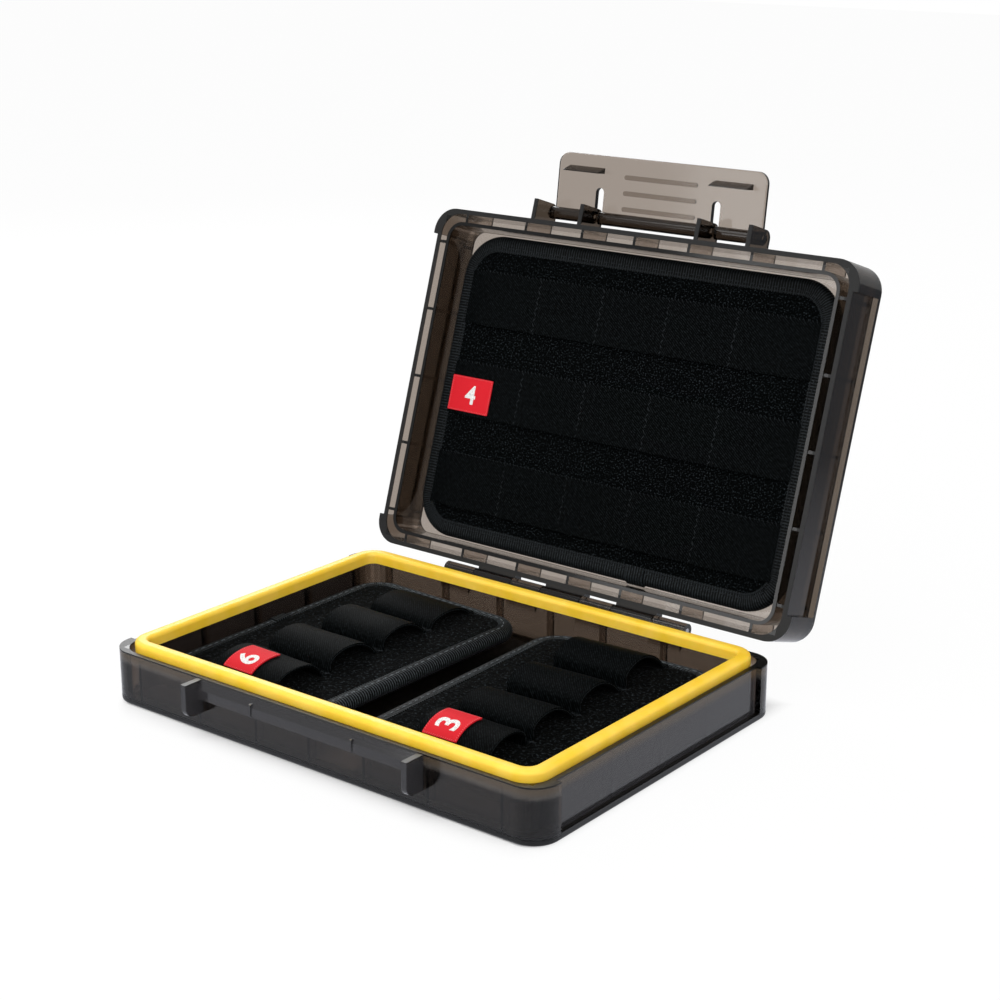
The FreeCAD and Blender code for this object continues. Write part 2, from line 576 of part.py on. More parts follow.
def latch():
    body = new_body("latch")
    outer_face = LATCH_FACE + " - latch_thickness"
    free_end = LATCH_Z + " - latch_length"
    low = ("-latch_width / 2", outer_face, free_end)
    block(body, low, ("latch_width / 2", LATCH_FACE, LATCH_Z))
    half, end = value("latch_width / 2"), value(free_end)

    def free_corner(box):
        at_a_side = near(abs(box.XMin), half) and near(box.XLength, 0)
        return at_a_side and box.YLength > SHORTEST_EDGE and lies_at(box, end)

    round_edges(body, "latch_corner", free_corner)
    faces = (value(outer_face), value(LATCH_FACE))
    round_edges(body, "latch_edge_round", lambda box: any(runs_along_x(box, face, end) for face in faces))
    barrel_end = "(latch_width / 2 + lug_gap - barrel_play)"
    rod(body, "barrel_radius", ("-" + barrel_end, barrel_end), (LATCH_Y, LATCH_Z))
    # Slots where the inner lugs pass, and the thin stretches of the barrel in all the lugs
    slot_ends = (LATCH_Y + " - 2 * barrel_radius", LATCH_Y + " + 2 * barrel_radius")
    for side in (-1, 1):
        place = sided(side, "inner_lug")
        ends = centred(place, SLOT_WIDTH)
        round_centre = "%s - %s + %s / 2" % (LATCH_Z, SLOT_END, SLOT_WIDTH)
        low = (ends[0], slot_ends[0], round_centre)
        block(body, low, (ends[1], slot_ends[1], LATCH_Z + " + 2 * barrel_radius"), cut=True)
        rod(body, SLOT_WIDTH + " / 2", slot_ends, (place, round_centre), turned=(1, 0, 0), cut=True)
    journal_end = "(%s + lug_thickness / 2 - barrel_play)" % OUTER_LUG
    rod(body, "journal_radius", ("-" + journal_end, journal_end), (LATCH_Y, LATCH_Z))
    # Hooks on the inner face and grip ribs on the outer face
    hold = LATCH_Z + " - hook_drop"
    for side in (-1, 1):
        ends = centred(sided(side, "hook_offset"), "hook_width")
        y_ends = (LATCH_FACE + " - joint_overlap", LATCH_FACE + " + " + HOOK_REACH)
        wedge(body, ends, y_ends, (hold + " - hook_foot", hold), (hold + " - hook_tip", hold))
    grip_ends = (outer_face + " - grip_height", outer_face + " + joint_overlap")
    for number in range(GRIP_RIBS):
        level = "(%s - grip_first - %d * grip_pitch)" % (LATCH_Z, number)
        z_ends = centred(level, "grip_width")
        reach = "(grip_length - grip_width) / 2"
        block(body, ("-" + reach, grip_ends[0], z_ends[0]), (reach, grip_ends[1], z_ends[1]))
        for side in (-1, 1):
            rod(body, "grip_width / 2", grip_ends, (sided(side, reach), level), turned=(1, 0, 0))
    return node(body, "latch", LATCH_PLACE)


# Sewn pads

def sheet_layer(label, outline, bottom, thickness, placement):
    """Flat sheet with the pad's outline, inside the binding."""
    width, depth, corner = outline
    body = new_body(label)
    edge = level_sketch(body, bottom)
    rounded_rectangle(edge, width + " - 2 * tape - 2 * tape_slack", depth + " - 2 * tape - 2 * tape_slack",
                      corner + " - tape - tape_slack")
    pad(body, edge, thickness)
    return node(body, label, placement)


def binding(label, outline, floor, placement):
    """Tape folded over the edge of a pad all round."""
    width, depth, corner = outline
    body = new_body(label)
    top = "%s + %s" % (floor, STACK)
    edge = level_sketch(body, floor + " - tape")
    rounded_rectangle(edge, width, depth, corner)
    pad(body, edge, STACK + " + 2 * tape")
    levels = [value(floor + " - tape"), value(top + " + tape")]
    round_edges(body, "tape_round", lambda box: any(lies_at(box, level) for level in levels))
    window = level_sketch(body, top + " + tape")
    rounded_rectangle(window, width + " - 2 * tape_lip", depth + " - 2 * tape_lip", corner + " - tape_lip")
    pocket(body, window, STACK + " + 2 * tape")
    fold = level_sketch(body, top)
    rounded_rectangle(fold, width + " - 2 * tape", depth + " - 2 * tape", corner + " - tape")
    pocket(body, fold, STACK)
    return node(body, label, placement)


def pad_layers(prefix, faces, outline, floor, placement):
    """Board between two cloths, bound with tape; faces names the lower and the upper cloth."""
    sheet_layer(prefix + "_" + faces[0], outline, floor, "cloth", placement)
    sheet_layer(prefix + "_board", outline, floor + " + cloth", "board", placement)
    sheet_layer(prefix + "_" + faces[1], outline, floor + " + cloth + board", "cloth", placement)
    binding(prefix + "_binding", outline, floor, placement)


def shaped(label, shape, placement):
    """Sub-part with a worked-out shape."""
    feature = doc.addObject("Part::Feature", label)
    feature.Shape = shape
    return node(feature, label, placement)


def point(y, z):
    return FreeCAD.Vector(0, y, z)


def wire_face(edges):
    return Part.Face(Part.Wire(Part.__sortEdges__([edge.toShape() for edge in edges])))


def loop_arc(pitch, rise):
    """Half opening, inner radius and height of the centre of a loop above the cloth."""
    half = (pitch - value("seam")) / 2 - value("strip")
    radius = (half * half + rise * rise) / (2 * rise)
    return half, radius, rise - radius


def looped_strip(pitch, count, rise, width, margin):
    """Elastic strip along Y, sewn down on the plane Z = 0 between its loops."""
    strip = value("strip")
    half, radius, centre = loop_arc(pitch, rise)
    shoulder = math.sqrt((radius + strip) ** 2 - (strip - centre) ** 2)
    middles = [(number - (count - 1) / 2) * pitch for number in range(count)]
    end = count * pitch / 2 + margin
    edges = []
    upper = point(-end, strip)
    lower = point(-end, 0)
    edges.append(Part.LineSegment(lower, upper))
    for middle in middles:
        edges.append(Part.LineSegment(upper, point(middle - shoulder, strip)))
        crown = point(middle, rise + strip)
        edges.append(Part.Arc(point(middle - shoulder, strip), crown, point(middle + shoulder, strip)))
        upper = point(middle + shoulder, strip)
        edges.append(Part.LineSegment(lower, point(middle - half, 0)))
        edges.append(Part.Arc(point(middle - half, 0), point(middle, rise), point(middle + half, 0)))
        lower = point(middle + half, 0)
    edges.append(Part.LineSegment(upper, point(end, strip)))
    edges.append(Part.LineSegment(lower, point(end, 0)))
    edges.append(Part.LineSegment(point(end, 0), point(end, strip)))
    face = wire_face(edges)
    face.translate(FreeCAD.Vector(-width / 2, 0, 0))
    return face.extrude(FreeCAD.Vector(width, 0, 0))


def loop_tag(pitch, rise, width):
    """Index tag bent over a loop whose middle is at Y = 0, from behind its crown to its front."""
    half, radius, centre = loop_arc(pitch, rise)
    inner = radius + value("strip") + value("tag_fit")
    outer = inner + value("tag")

    def on(arc, y):
        lean = math.asin(y / inner)
        return point(arc * math.sin(lean), centre + arc * math.cos(lean))

    back = value("loop_tag_back")
    front = value("loop_tag_margin") - half
    middle = (back + front) / 2
    edges = [
        Part.Arc(on(inner, front), on(inner, middle), on(inner, back)),
        Part.LineSegment(on(inner, back), on(outer, back)),
        Part.Arc(on(outer, back), on(outer, middle), on(outer, front)),
        Part.LineSegment(on(outer, front), on(inner, front)),
    ]
    face = wire_face(edges)
    return face.extrude(FreeCAD.Vector(width, 0, 0))


def base_pad(prefix, centre_x):
    """Card pad that lies in the base, with four loops above and four under it."""
    middle = value(centre_x)
    flat = FreeCAD.Placement(FreeCAD.Vector(middle, 0, 0), FreeCAD.Rotation())
    outline = (BASE_PAD_WIDTH, BASE_PAD_DEPTH, "base_pad_corner")
    pad_layers(prefix, ("under_cloth", "top_cloth"), outline, BASE_PAD_FLOOR, flat)
    pitch = value(LOOP_PITCH)
    width = value("loop_width")
    strip_middle = middle + value("loop_shift")
    top_face = FreeCAD.Vector(strip_middle, 0, value("%s + %s" % (BASE_PAD_FLOOR, STACK)))
    under_face = FreeCAD.Vector(strip_middle, 0, value(BASE_PAD_FLOOR))
    over = FreeCAD.Rotation(FreeCAD.Vector(0, 1, 0), 180)
    margin = value("loop_margin")
    top = looped_strip(pitch, LOOPS, value("loop_rise"), width, margin)
    under = looped_strip(pitch, LOOPS, value("under_rise"), width, margin)
    shaped(prefix + "_top_loops", top, FreeCAD.Placement(top_face, FreeCAD.Rotation()))
    shaped(prefix + "_under_loops", under, FreeCAD.Placement(under_face, over))
    first_loop = FreeCAD.Vector(-width / 2, -(LOOPS - 1) / 2 * pitch, 0)
    tag = loop_tag(pitch, value("loop_rise"), value("loop_tag_width"))
    shaped(prefix + "_tag", tag, FreeCAD.Placement(top_face + first_loop, FreeCAD.Rotation()))


def lid_pad():
    """Card pad in the lid, with three bands of pockets on each face."""
    outline = (LID_PAD_WIDTH, LID_PAD_DEPTH, "lid_pad_corner")
    pad_layers("lid_pad", ("front_cloth", "back_cloth"), outline, LID_PAD_FLOOR, LID_PLACE)
    pitch = value(POCKET_PITCH)
    along = FreeCAD.Rotation(FreeCAD.Vector(0, 0, 1), 90)
    over = FreeCAD.Rotation(FreeCAD.Vector(1, 0, 0), 180)
    front_face = value(LID_PAD_FLOOR)
    back_face = value("%s + %s" % (LID_PAD_FLOOR, STACK))
    band = looped_strip(pitch, POCKETS, value("band_rise"), value("band_height"), value("band_margin") / 2)
    for number in range(BANDS):
        y = value("band_shift") + (number - (BANDS - 1) / 2) * value(BAND_PITCH)
        front = FreeCAD.Placement(FreeCAD.Vector(0, y, front_face), over * along)
        back = FreeCAD.Placement(FreeCAD.Vector(0, y, back_face), along)
        shaped("lid_pad_front_band_%d" % (number + 1), band.copy(), LID_PLACE * front)
        shaped("lid_pad_back_band_%d" % (number + 1), band.copy(), LID_PLACE * back)
    body = new_body("lid_pad_tag")
    left = "-%s / 2 + tape_lip + band_tag_inset" % LID_PAD_WIDTH
    tag_y = centred("(band_shift + band_tag_drop)", "band_tag_height")
    tag_top = LID_PAD_FLOOR + " - band_rise - strip - tag_fit"
    block(body, (left, tag_y[0], tag_top + " - tag"), (left + " + band_tag_width", tag_y[1], tag_top))
    node(body, "lid_pad_tag", LID_PLACE)


base_shell()
gasket()
hinge_pin()
base_pad("left_pad", "-%s / 2 + left_pad_gap + %s / 2" % (ROOM_WIDTH, BASE_PAD_WIDTH))
base_pad("right_pad", "%s / 2 - right_pad_gap - %s / 2" % (ROOM_WIDTH, BASE_PAD_WIDTH))
lid_shell()
lid_pad()
latch()
doc.recompute()

for item in doc.Objects:
    if "Invalid" in item.State or "Error" in item.State:
        raise RuntimeError("%s failed: %s" % (item.Label, item.State))
for item in nodes:
    if item.Shape.isNull() or not item.Shape.isValid():
        raise RuntimeError("%s has no valid shape" % item.Label)

os.makedirs("parts", exist_ok=True)
for item in nodes:
    item.Shape.exportStep("parts/%s.step" % item.Label)
    print("%-24s solids %d volume %.1f" % (item.Label, len(item.Shape.Solids), item.Shape.Volume))
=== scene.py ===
import json
import math

import bmesh
import bpy
from mathutils import Matrix, Vector, noise


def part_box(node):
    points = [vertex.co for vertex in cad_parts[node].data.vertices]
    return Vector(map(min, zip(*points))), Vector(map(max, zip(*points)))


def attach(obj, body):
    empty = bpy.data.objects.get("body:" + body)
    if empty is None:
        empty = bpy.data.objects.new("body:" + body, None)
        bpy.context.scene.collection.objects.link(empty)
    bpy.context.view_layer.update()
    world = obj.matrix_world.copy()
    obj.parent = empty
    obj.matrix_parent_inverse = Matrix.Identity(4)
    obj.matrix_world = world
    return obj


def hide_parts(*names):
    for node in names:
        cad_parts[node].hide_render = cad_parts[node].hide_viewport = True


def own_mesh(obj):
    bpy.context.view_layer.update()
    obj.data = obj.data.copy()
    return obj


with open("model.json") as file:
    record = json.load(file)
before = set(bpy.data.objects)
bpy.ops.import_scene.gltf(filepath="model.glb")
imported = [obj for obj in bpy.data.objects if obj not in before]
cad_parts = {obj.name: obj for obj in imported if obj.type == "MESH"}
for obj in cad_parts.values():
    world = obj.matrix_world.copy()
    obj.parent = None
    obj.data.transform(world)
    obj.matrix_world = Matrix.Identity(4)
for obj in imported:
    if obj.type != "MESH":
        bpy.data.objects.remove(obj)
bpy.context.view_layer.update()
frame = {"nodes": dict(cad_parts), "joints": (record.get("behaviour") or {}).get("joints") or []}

# Memory card case: smoky moulded shells, a yellow seal, and three sewn card pads on a white stage.
# Metres, in the frame of the solids: X along the front, Y to the back, Z up.

bl_info = {
    "name": "Memory card case",
    "version": (1, 0, 0),
    "blender": (4, 5, 0),
    "location": "3D View > Sidebar > Card case",
    "description": "Dresses a memory card case in plastic, rubber and cloth, and sets its stage",
    "category": "Object",
}

MM = 0.001
# Points closer than this are one point, and runs closer than this are one place
MERGE = 0.01 * MM
SAME_RUN = 0.001 * MM
WHITE = (1.0, 1.0, 1.0, 1.0)
JOINTS = {joint["name"]: joint for joint in frame["joints"]}
LID_HINGE = JOINTS["lid_hinge"]
LATCH_HINGE = JOINTS["latch_hinge"]
LID_OPENING = math.radians(LID_HINGE["range_deg"][1])
LATCH_OPENING = math.radians(LATCH_HINGE["range_deg"][1])
# Opens the shut lid
ABOUT_HINGE = Matrix.Translation(LID_HINGE["pos_m"])
LID_OPEN = ABOUT_HINGE @ Matrix.Rotation(-LID_OPENING, 4, "X") @ ABOUT_HINGE.inverted()
# Turns a drawing of a pad's face over to its other face
OVER = Matrix.Rotation(math.pi, 4, "Y")
# Latch plate: the way that its outer face looks, and its inner and outer faces past the latch's axis
LATCH_OUT = Matrix.Rotation(-LID_OPENING - LATCH_OPENING, 3, "X") @ Vector((0, -1, 0))
LATCH_FACES = (1.0 * MM, 2.8 * MM)
# Half the width and the depth of the room inside the walls
ROOM_HALF = Vector((77.6, 54.9)) * MM
# Past the room: the inner wall's thickness, a place in the space behind it, and the outer wall's outer face
INNER_WALL = 1.2 * MM
PAST_GAP = 3 * MM
OUTER_WALL = 5.75 * MM
# Heights of the shut case: floor's top and roof's underside, the rims, and the glow under the base's rim
PLATES = (1.7 * MM, 32.2 * MM)
RIM = 17.4 * MM
RIM_EDGE = 0.5 * MM
GLOW = (13.2 * MM, 15.6 * MM)
# Sunk sides between the corner posts: outer face past the room, half their length, and the ledge under them
SUNK_FACE = 5.6 * MM
SUNK_HALF = 51.0 * MM
SUNK_LEDGE = 2.2 * MM
# How far past a face a place on the walls, on the floor or on the latch still counts as the face
SKIN = 0.1 * MM
FLOOR_SKIN = 0.3 * MM
LATCH_SKIN = 0.05 * MM


def linear(code):
    """Linear colour of an sRGB hex value."""
    shares = [int(code[place:place + 2], 16) / 255 for place in (1, 3, 5)]
    return [share / 12.92 if share <= 0.04045 else ((share + 0.055) / 1.055) ** 2.4 for share in shares]


def colour(name, code, description):
    return bpy.props.FloatVectorProperty(
        name=name, description=description, subtype="COLOR", size=3, min=0, max=1, default=linear(code))


def length(name, millimetres, description):
    return bpy.props.FloatProperty(
        name=name, description=description, unit="LENGTH", precision=5, min=0, default=millimetres * MM)


def power(name, watts, description):
    return bpy.props.FloatProperty(name=name, description=description, unit="POWER", min=0, default=watts)


# Sizes and colours that a user would change

class CaseColours(bpy.types.PropertyGroup):
    """Colours of the case's materials."""

    plastic: colour("Plastic", "#EFEAE6", "Surface of the smoky plastic")
    # Painted shade: the lid's inner wall, what stands past its front and back walls, and its right side are
    # darkened with this colour, as little light comes through them
    lid_wall_shade: colour("Lid's inner wall", "#6E655C", "Inner wall of the lid, where the smoke is deepest")
    # Painted shade: the base's inner wall is the same plastic as the lid's, painted less dark because more
    # light comes through it from behind
    base_wall_shade: colour("Base's inner wall", "#A39C96", "Inner wall of the base")
    lid_plate: colour("Lid's plate", "#FFFFFF", "Roof of the lid")
    # Painted shade: the floor of the base and the foot of its walls are painted dark, as the gap between the
    # pads lies in shade
    base_plate_shade: colour("Base's plate", "#38332E", "Floor of the base, in its own shade")
    # Partly painted shade: the cut rims are dark where they are seen end-on through the dye, and painted
    # darker where the base's rim lies in shade beside the seal; the ledges under the sunk sides carry a
    # painted shadow line
    rim: colour("Rim", "#181614", "Cut edges of the rims, and the ledges under the sunk sides")
    latch_thick: colour("Thick latch", "#3A332D", "Barrel and hooks of the latch, which are thick")
    latch_grips: colour("Latch grips", "#AFA59C", "Grip ribs on the latch")
    ledge: colour("Ledge", "#77767B", "Catch ledge, guards and sunk sides of the base, a little cloudy")
    rim_glow: colour("Rim glow", "#AC9880", "Top of the base's outer wall, where light comes in at its rim")
    smoke: colour("Smoke", "#9C8973", "What the smoky plastic lets through")
    seal: colour("Seal", "#FFD136", "Yellow rubber of the seal")
    plush: colour("Plush", "#010202", "Roots of the plush")
    plush_tips: colour("Plush tips", "#343A3E", "Lit fibres of the plush")
    tape: colour("Tape", "#020303", "Binding tapes between their ribs")
    # Painted light and shade: one tape, its ribs painted lighter on the base pads, which are lit from above
    # and behind, and darker on the lid pad, which gets less light
    base_ribs_lit: colour("Base tape ribs", "#4C5256", "Ribs of the base pads' tapes")
    lid_ribs_shaded: colour("Lid tape ribs", "#2B3033", "Ribs of the lid pad's tape, a darker lot")
    elastic: colour("Elastic", "#010202", "Ground of the elastic")
    elastic_threads: colour("Elastic threads", "#191D1F", "Raised threads of the elastic")
    thread: colour("Thread", "#212528", "Sewing thread of the seams")
    edge_thread: colour("Edge thread", "#6B7175", "Sewing thread along the base pads' tapes")
    tag: colour("Tag", "#E5232F", "Red index tags")
    number: colour("Number", "#F7F4F2", "Numbers on the tags")
    pin: colour("Pin", "#B9B9BC", "Steel of the hinge pin")
    floor: colour("Floor", "#F4F4F4", "Floor of the stage")
    mirrored_floor: colour("Mirrored floor", "#F0F2FA", "Floor of the stage as the case mirrors it")


class PadSizes(bpy.types.PropertyGroup):
    """Sizes of the sewn work that the solids leave plain."""

    cell: length("Cell", 1.0, "Mesh of the plush")
    plush_pile: length("Pile", 0.22, "Unevenness of the plush")
    plush_clump: length("Clump", 1.5, "Size of a clump of fibres")
    crown: length("Crown", 0.3, "Rise of a pad's middle over its edges")
    tape_inset: length("Tape inset", 2.2, "Edge of the tape to the edge of the plush under it")
    base_lip: length("Base tape lip", 4.6, "Edge of a base pad to the inner edge of its tape")
    lid_lip: length("Lid tape lip", 5.7, "Edge of the lid pad to the inner edge of its tape")
    tape_thickness: length("Tape thickness", 0.6, "Thickness of the tape")
    rib_pitch: length("Rib pitch", 1.0, "From one rib of the tape to the next")
    rib_height: length("Rib height", 0.2, "Height of a rib of the tape")
    join: length("Join", 6.4, "Length over which the two ends of a tape lap")
    join_rise: length("Join rise", 0.5, "Rise of a lapped tape")
    stitch: length("Stitch", 2.1, "Length of a stitch")
    stitch_pitch: length("Stitch pitch", 2.9, "From one stitch to the next")
    stitch_width: length("Stitch width", 0.42, "Thickness of the sewing thread")
    stitch_inset: length("Stitch inset", 1.5, "Inner edge of a tape to its line of stitches")
    chain_inset: length("Chain inset", 0.3, "Inner edge of a tape to its chain of thread")
    edge_width: length("Edge width", 0.22, "Thickness of the thread along the edges of the elastic")
    edge_stitch: length("Edge stitch", 1.1, "Length of a stitch over the edge of a band")
    zigzag_pitch: length("Zigzag pitch", 1.9, "From one stitch of a pocket's seam to the next")
    strip: length("Strip", 0.9, "Thickness of the elastic")
    seam: length("Seam", 1.6, "Width of a seam between two loops")
    strip_margin: length("Strip margin", 0.5, "End of a looped strip past its last loop")
    pocket_margin: length("Pocket margin", 2.2, "End of a band past its last pocket")
    number_height: length("Number height", 6.4, "Height of the number on the lid's tag")
    loop_number: length("Loop number", 7.4, "Height of the numbers on the loops' tags")


class StageSettings(bpy.types.PropertyGroup):
    """Camera and light of the stage."""

    camera_place: bpy.props.FloatVectorProperty(
        name="Camera place", description="Where the camera stands", subtype="TRANSLATION", size=3,
        default=(0.37612, -0.44550, 0.25003))
    camera_turn: bpy.props.FloatVectorProperty(
        name="Camera turn", description="How the camera is turned", subtype="EULER", size=3,
        default=(math.radians(72.57), 0, math.radians(38.35)))
    camera_lens: bpy.props.FloatProperty(
        name="Lens", description="Focal length on a 36 mm sensor, in millimetres", default=72.47, min=1)
    floor_glow: bpy.props.FloatProperty(
        name="Floor glow", description="Share of the floor's white that no shadow reaches",
        default=0.95, min=0, max=1)
    room_light: bpy.props.FloatProperty(
        name="Room light", description="Strength of the even light from all round", default=0.55, min=0)
    key_light: power("Key light", 3.6, "Power of the large lamp above")
    front_light: power("Front light", 4.4, "Power of the lamp beside the camera")
    side_light: power("Side light", 1.4, "Power of the lamps at the sides")
    rim_light: power("Rim light", 0.8, "Power of the small lamp that the lid's rim mirrors")
    back_light: power("Back light", 2.2, "Power of the lamp past the lid's left end")


# Materials

def add(tree, kind, inputs=None, **settings):
    """One node with its settings; an input given as a node and an output's name is linked."""
    node = tree.nodes.new(kind)
    for name, setting in settings.items():
        setattr(node, name, setting)
    for name, given in (inputs or {}).items():
        if isinstance(given, tuple) and isinstance(given[0], bpy.types.Node):
            tree.links.new(given[0].outputs[given[1]], node.inputs[name])
        else:
            node.inputs[name].default_value = given
    return node


def opaque(shade):
    """Colour with full alpha, as a socket wants it."""
    return (*shade, 1.0)


def per_metre(millimetres):
    """Scale of a pattern that repeats at a size."""
    return 1 / (millimetres * MM)


def maths(tree, operation, *given):
    """Output of one sum on numbers or on other outputs."""
    return add(tree, "ShaderNodeMath", dict(enumerate(given)), operation=operation), "Value"


def spread(tree, given, start=(0.0, 1.0), end=(0.0, 1.0)):
    """Output of a number carried from one range to another."""
    limits = {"From Min": start[0], "From Max": start[1], "To Min": end[0], "To Max": end[1]}
    return add(tree, "ShaderNodeMapRange", {"Value": given, **limits}), "Result"


def blend(tree, share, first, second):
    """Output of a mix of two colours."""
    return add(tree, "ShaderNodeMix", {"Factor": share, "A": first, "B": second}, data_type="RGBA"), "Result"


def painted(tree, ground, *layers):
    """Output of a colour with others laid over it, each by its own share."""
    for share, shade in layers:
        ground = blend(tree, share, ground, opaque(shade))
    return ground


def shades(tree, given, stops, dark, light):
    """Output of a ramp from a dark to a light colour, between two stops."""
    ramp = add(tree, "ShaderNodeValToRGB", {"Fac": given})
    for element, stop, shade in zip(ramp.color_ramp.elements, stops, (dark, light)):
        element.position = stop
        element.color = opaque(shade)
    return ramp, "Color"


def grain(tree, place, size, detail=2.0, roughness=0.5):
    """Output of a noise with grains of a size in millimetres."""
    return add(tree, "ShaderNodeTexNoise", {
        "Vector": place, "Scale": per_metre(size), "Detail": detail, "Roughness": roughness}), "Fac"


def bumps(tree, height, strength, depth):
    """Output of bumps of a depth in millimetres."""
    bump = add(tree, "ShaderNodeBump", {"Height": height, "Strength": strength, "Distance": depth * MM})
    return bump, "Normal"


def object_place(tree):
    return add(tree, "ShaderNodeTexCoord"), "Object"


def cloth_place(tree):
    return add(tree, "ShaderNodeAttribute", attribute_name="weave"), "Vector"


def new_material(name):
    """Empty nodes of a new material."""
    material = bpy.data.materials.new(name)
    material.use_nodes = True
    material.node_tree.nodes.clear()
    return material.node_tree


def surface(tree, inputs, **more):
    """Surface of a material, with its inputs, and its output."""
    shader = add(tree, "ShaderNodeBsdfPrincipled", inputs)
    add(tree, "ShaderNodeOutputMaterial", {"Surface": (shader, "BSDF"), **more})


class ShellPlaces:
    """Places on a shell, as outputs that give one where a point lies in them and nought elsewhere."""

    def __init__(self, tree, place, shut):
        self.tree = tree
        at_shut = add(tree, "ShaderNodeMapping", {
            "Vector": place, "Location": shut.to_translation(), "Rotation": shut.to_euler()})
        apart = add(tree, "ShaderNodeSeparateXYZ", {"Vector": (at_shut, "Vector")})
        self.across, self.along, self.height = [(apart, axis) for axis in "XYZ"]
        self.past_sides = maths(tree, "SUBTRACT", maths(tree, "ABSOLUTE", self.across), ROOM_HALF.x)
        self.past_ends = maths(tree, "SUBTRACT", maths(tree, "ABSOLUTE", self.along), ROOM_HALF.y)
        outside = self.either(self.past_sides, self.past_ends)
        # Inner wall, between the room and the space behind it
        self.inner_wall = self.both(self.over(outside, -SKIN), self.under(outside, INNER_WALL + SKIN))
        # Outer wall and all that stands past it
        self.outer_wall = self.over(outside, PAST_GAP)
        # Lugs, ledges and knuckles, past the front and back walls
        self.past_wall = self.over(self.past_ends, OUTER_WALL)
        # Neither plate: above the base's floor and under the lid's roof
        self.upright = self.both(self.over(self.height, PLATES[0]), self.under(self.height, PLATES[1]))
        off_rim = maths(tree, "ABSOLUTE", maths(tree, "SUBTRACT", self.height, RIM))
        self.cut_rim = self.under(off_rim, RIM_EDGE)
        self.outer_rim = self.both(self.cut_rim, self.outer_wall)

    def over(self, given, limit):
        return maths(self.tree, "GREATER_THAN", given, limit)

    def under(self, given, limit):
        return maths(self.tree, "LESS_THAN", given, limit)

    def both(self, first, second):
        return maths(self.tree, "MULTIPLY", first, second)

    def either(self, first, second):
        return maths(self.tree, "MAXIMUM", first, second)

    def shell(self, dark, outer, inner, plate):
        """Colour of the walls, with painted shade in places, and of the plate."""
        walls = painted(self.tree, opaque(outer), (self.both(dark, self.upright), inner))
        return blend(self.tree, self.upright, opaque(plate), walls)


def lid_tint(tree, place, colours):
    """Colour of the lid, how clear it is, and where it is matt."""
    at = ShellPlaces(tree, place, LID_OPEN.inverted())
    # Painted shade on the inner wall and on what stands past the front and back walls
    dark = at.either(at.inner_wall, at.past_wall)
    shell = at.shell(dark, colours.plastic, colours.lid_wall_shade, colours.lid_plate)
    # Painted shade: the right side, in front of the pad's edge, is painted with the lid's dark wall colour,
    # as little light comes through it
    right = at.both(at.over(at.across, ROOM_HALF.x + PAST_GAP), at.upright)
    tint = painted(tree, shell, (right, colours.lid_wall_shade), (at.cut_rim, colours.rim))
    return tint, 1.0, at.outer_rim


def base_tint(tree, place, colours):
    """Colour of the base, how clear it is, and where it is matt."""
    at = ShellPlaces(tree, place, Matrix.Identity(4))
    # Painted shade on the inner wall, and a darker painted shade on the floor and at the foot of the walls
    shell = at.shell(at.inner_wall, colours.plastic, colours.base_wall_shade, colours.base_plate_shade)
    # Sunk sides: a cloudy panel that half hides the ribs, over a ledge with a painted shadow line
    between_posts = at.under(maths(tree, "ABSOLUTE", at.along), SUNK_HALF)
    sunk = at.both(between_posts, at.over(at.past_sides, PAST_GAP))
    at_foot = at.both(at.under(at.height, SUNK_LEDGE + SKIN), at.over(at.past_sides, SUNK_FACE + SKIN))
    foot = at.both(at_foot, sunk)
    panel_part = maths(tree, "SUBTRACT", sunk, foot)
    # Light comes in at the open rim and is scattered in the top of the outer wall
    near_rim = spread(tree, at.height, start=GLOW)
    lit = at.both(near_rim, maths(tree, "SUBTRACT", at.outer_wall, at.past_wall))
    # The catch ledge and its guards stand past the front wall
    in_front = at.under(at.along, -ROOM_HALF.y - OUTER_WALL)
    # The ledge's painted shadow line and the rim's partly painted shade are laid on in the rim's colour
    tint = painted(tree, shell, (panel_part, colours.ledge), (foot, colours.rim), (lit, colours.rim_glow),
                   (in_front, colours.ledge), (at.cut_rim, colours.rim))
    cloudy = at.either(lit, at.either(panel_part, in_front))
    cloudy_clear = 0.87
    # The floor of the tray is matt, so that the gap between the pads mirrors nothing
    floor = at.under(at.height, PLATES[0] + FLOOR_SKIN)
    return tint, spread(tree, cloudy, end=(1.0, cloudy_clear)), at.either(at.outer_rim, floor)


def latch_tint(tree, place, colours):
    """Colour of the latch in its plate, its thick barrel and hooks, and its grip ribs; all of it is clear."""
    axis = Vector(LATCH_HINGE["pos_m"]).dot(LATCH_OUT)
    out = add(tree, "ShaderNodeVectorMath", {0: place, 1: LATCH_OUT}, operation="DOT_PRODUCT"), "Value"
    inside = maths(tree, "LESS_THAN", out, axis + LATCH_FACES[0] - LATCH_SKIN)
    on_top = maths(tree, "GREATER_THAN", out, axis + LATCH_FACES[1] + LATCH_SKIN)
    tint = painted(
        tree, opaque(colours.plastic), (on_top, colours.latch_grips), (inside, colours.latch_thick))
    return tint, 1.0, 0.0


def smoky_polycarbonate(colours, name, tinted):
    """Clear moulded sheet with a grey-brown dye: pale in one wall, dark where walls and ribs add up."""
    tree = new_material(name)
    place = object_place(tree)
    tint, clear, matt = tinted(tree, place, colours)
    # Slight flow marks of the moulding, about 6 mm apart
    gloss = spread(tree, grain(tree, place, 6), end=(0.07, 0.12))
    matt_roughness = 0.38
    rough = add(tree, "ShaderNodeMix", {"Factor": matt, "A": gloss, "B": matt_roughness})
    # The dye takes up light within the wall, so thick places are darker
    dye = add(tree, "ShaderNodeVolumeAbsorption", {"Color": opaque(colours.smoke), "Density": 700.0})
    inputs = {"Base Color": tint, "Roughness": (rough, "Result"), "IOR": 1.45, "Transmission Weight": clear}
    surface(tree, inputs, Volume=(dye, "Volume"))


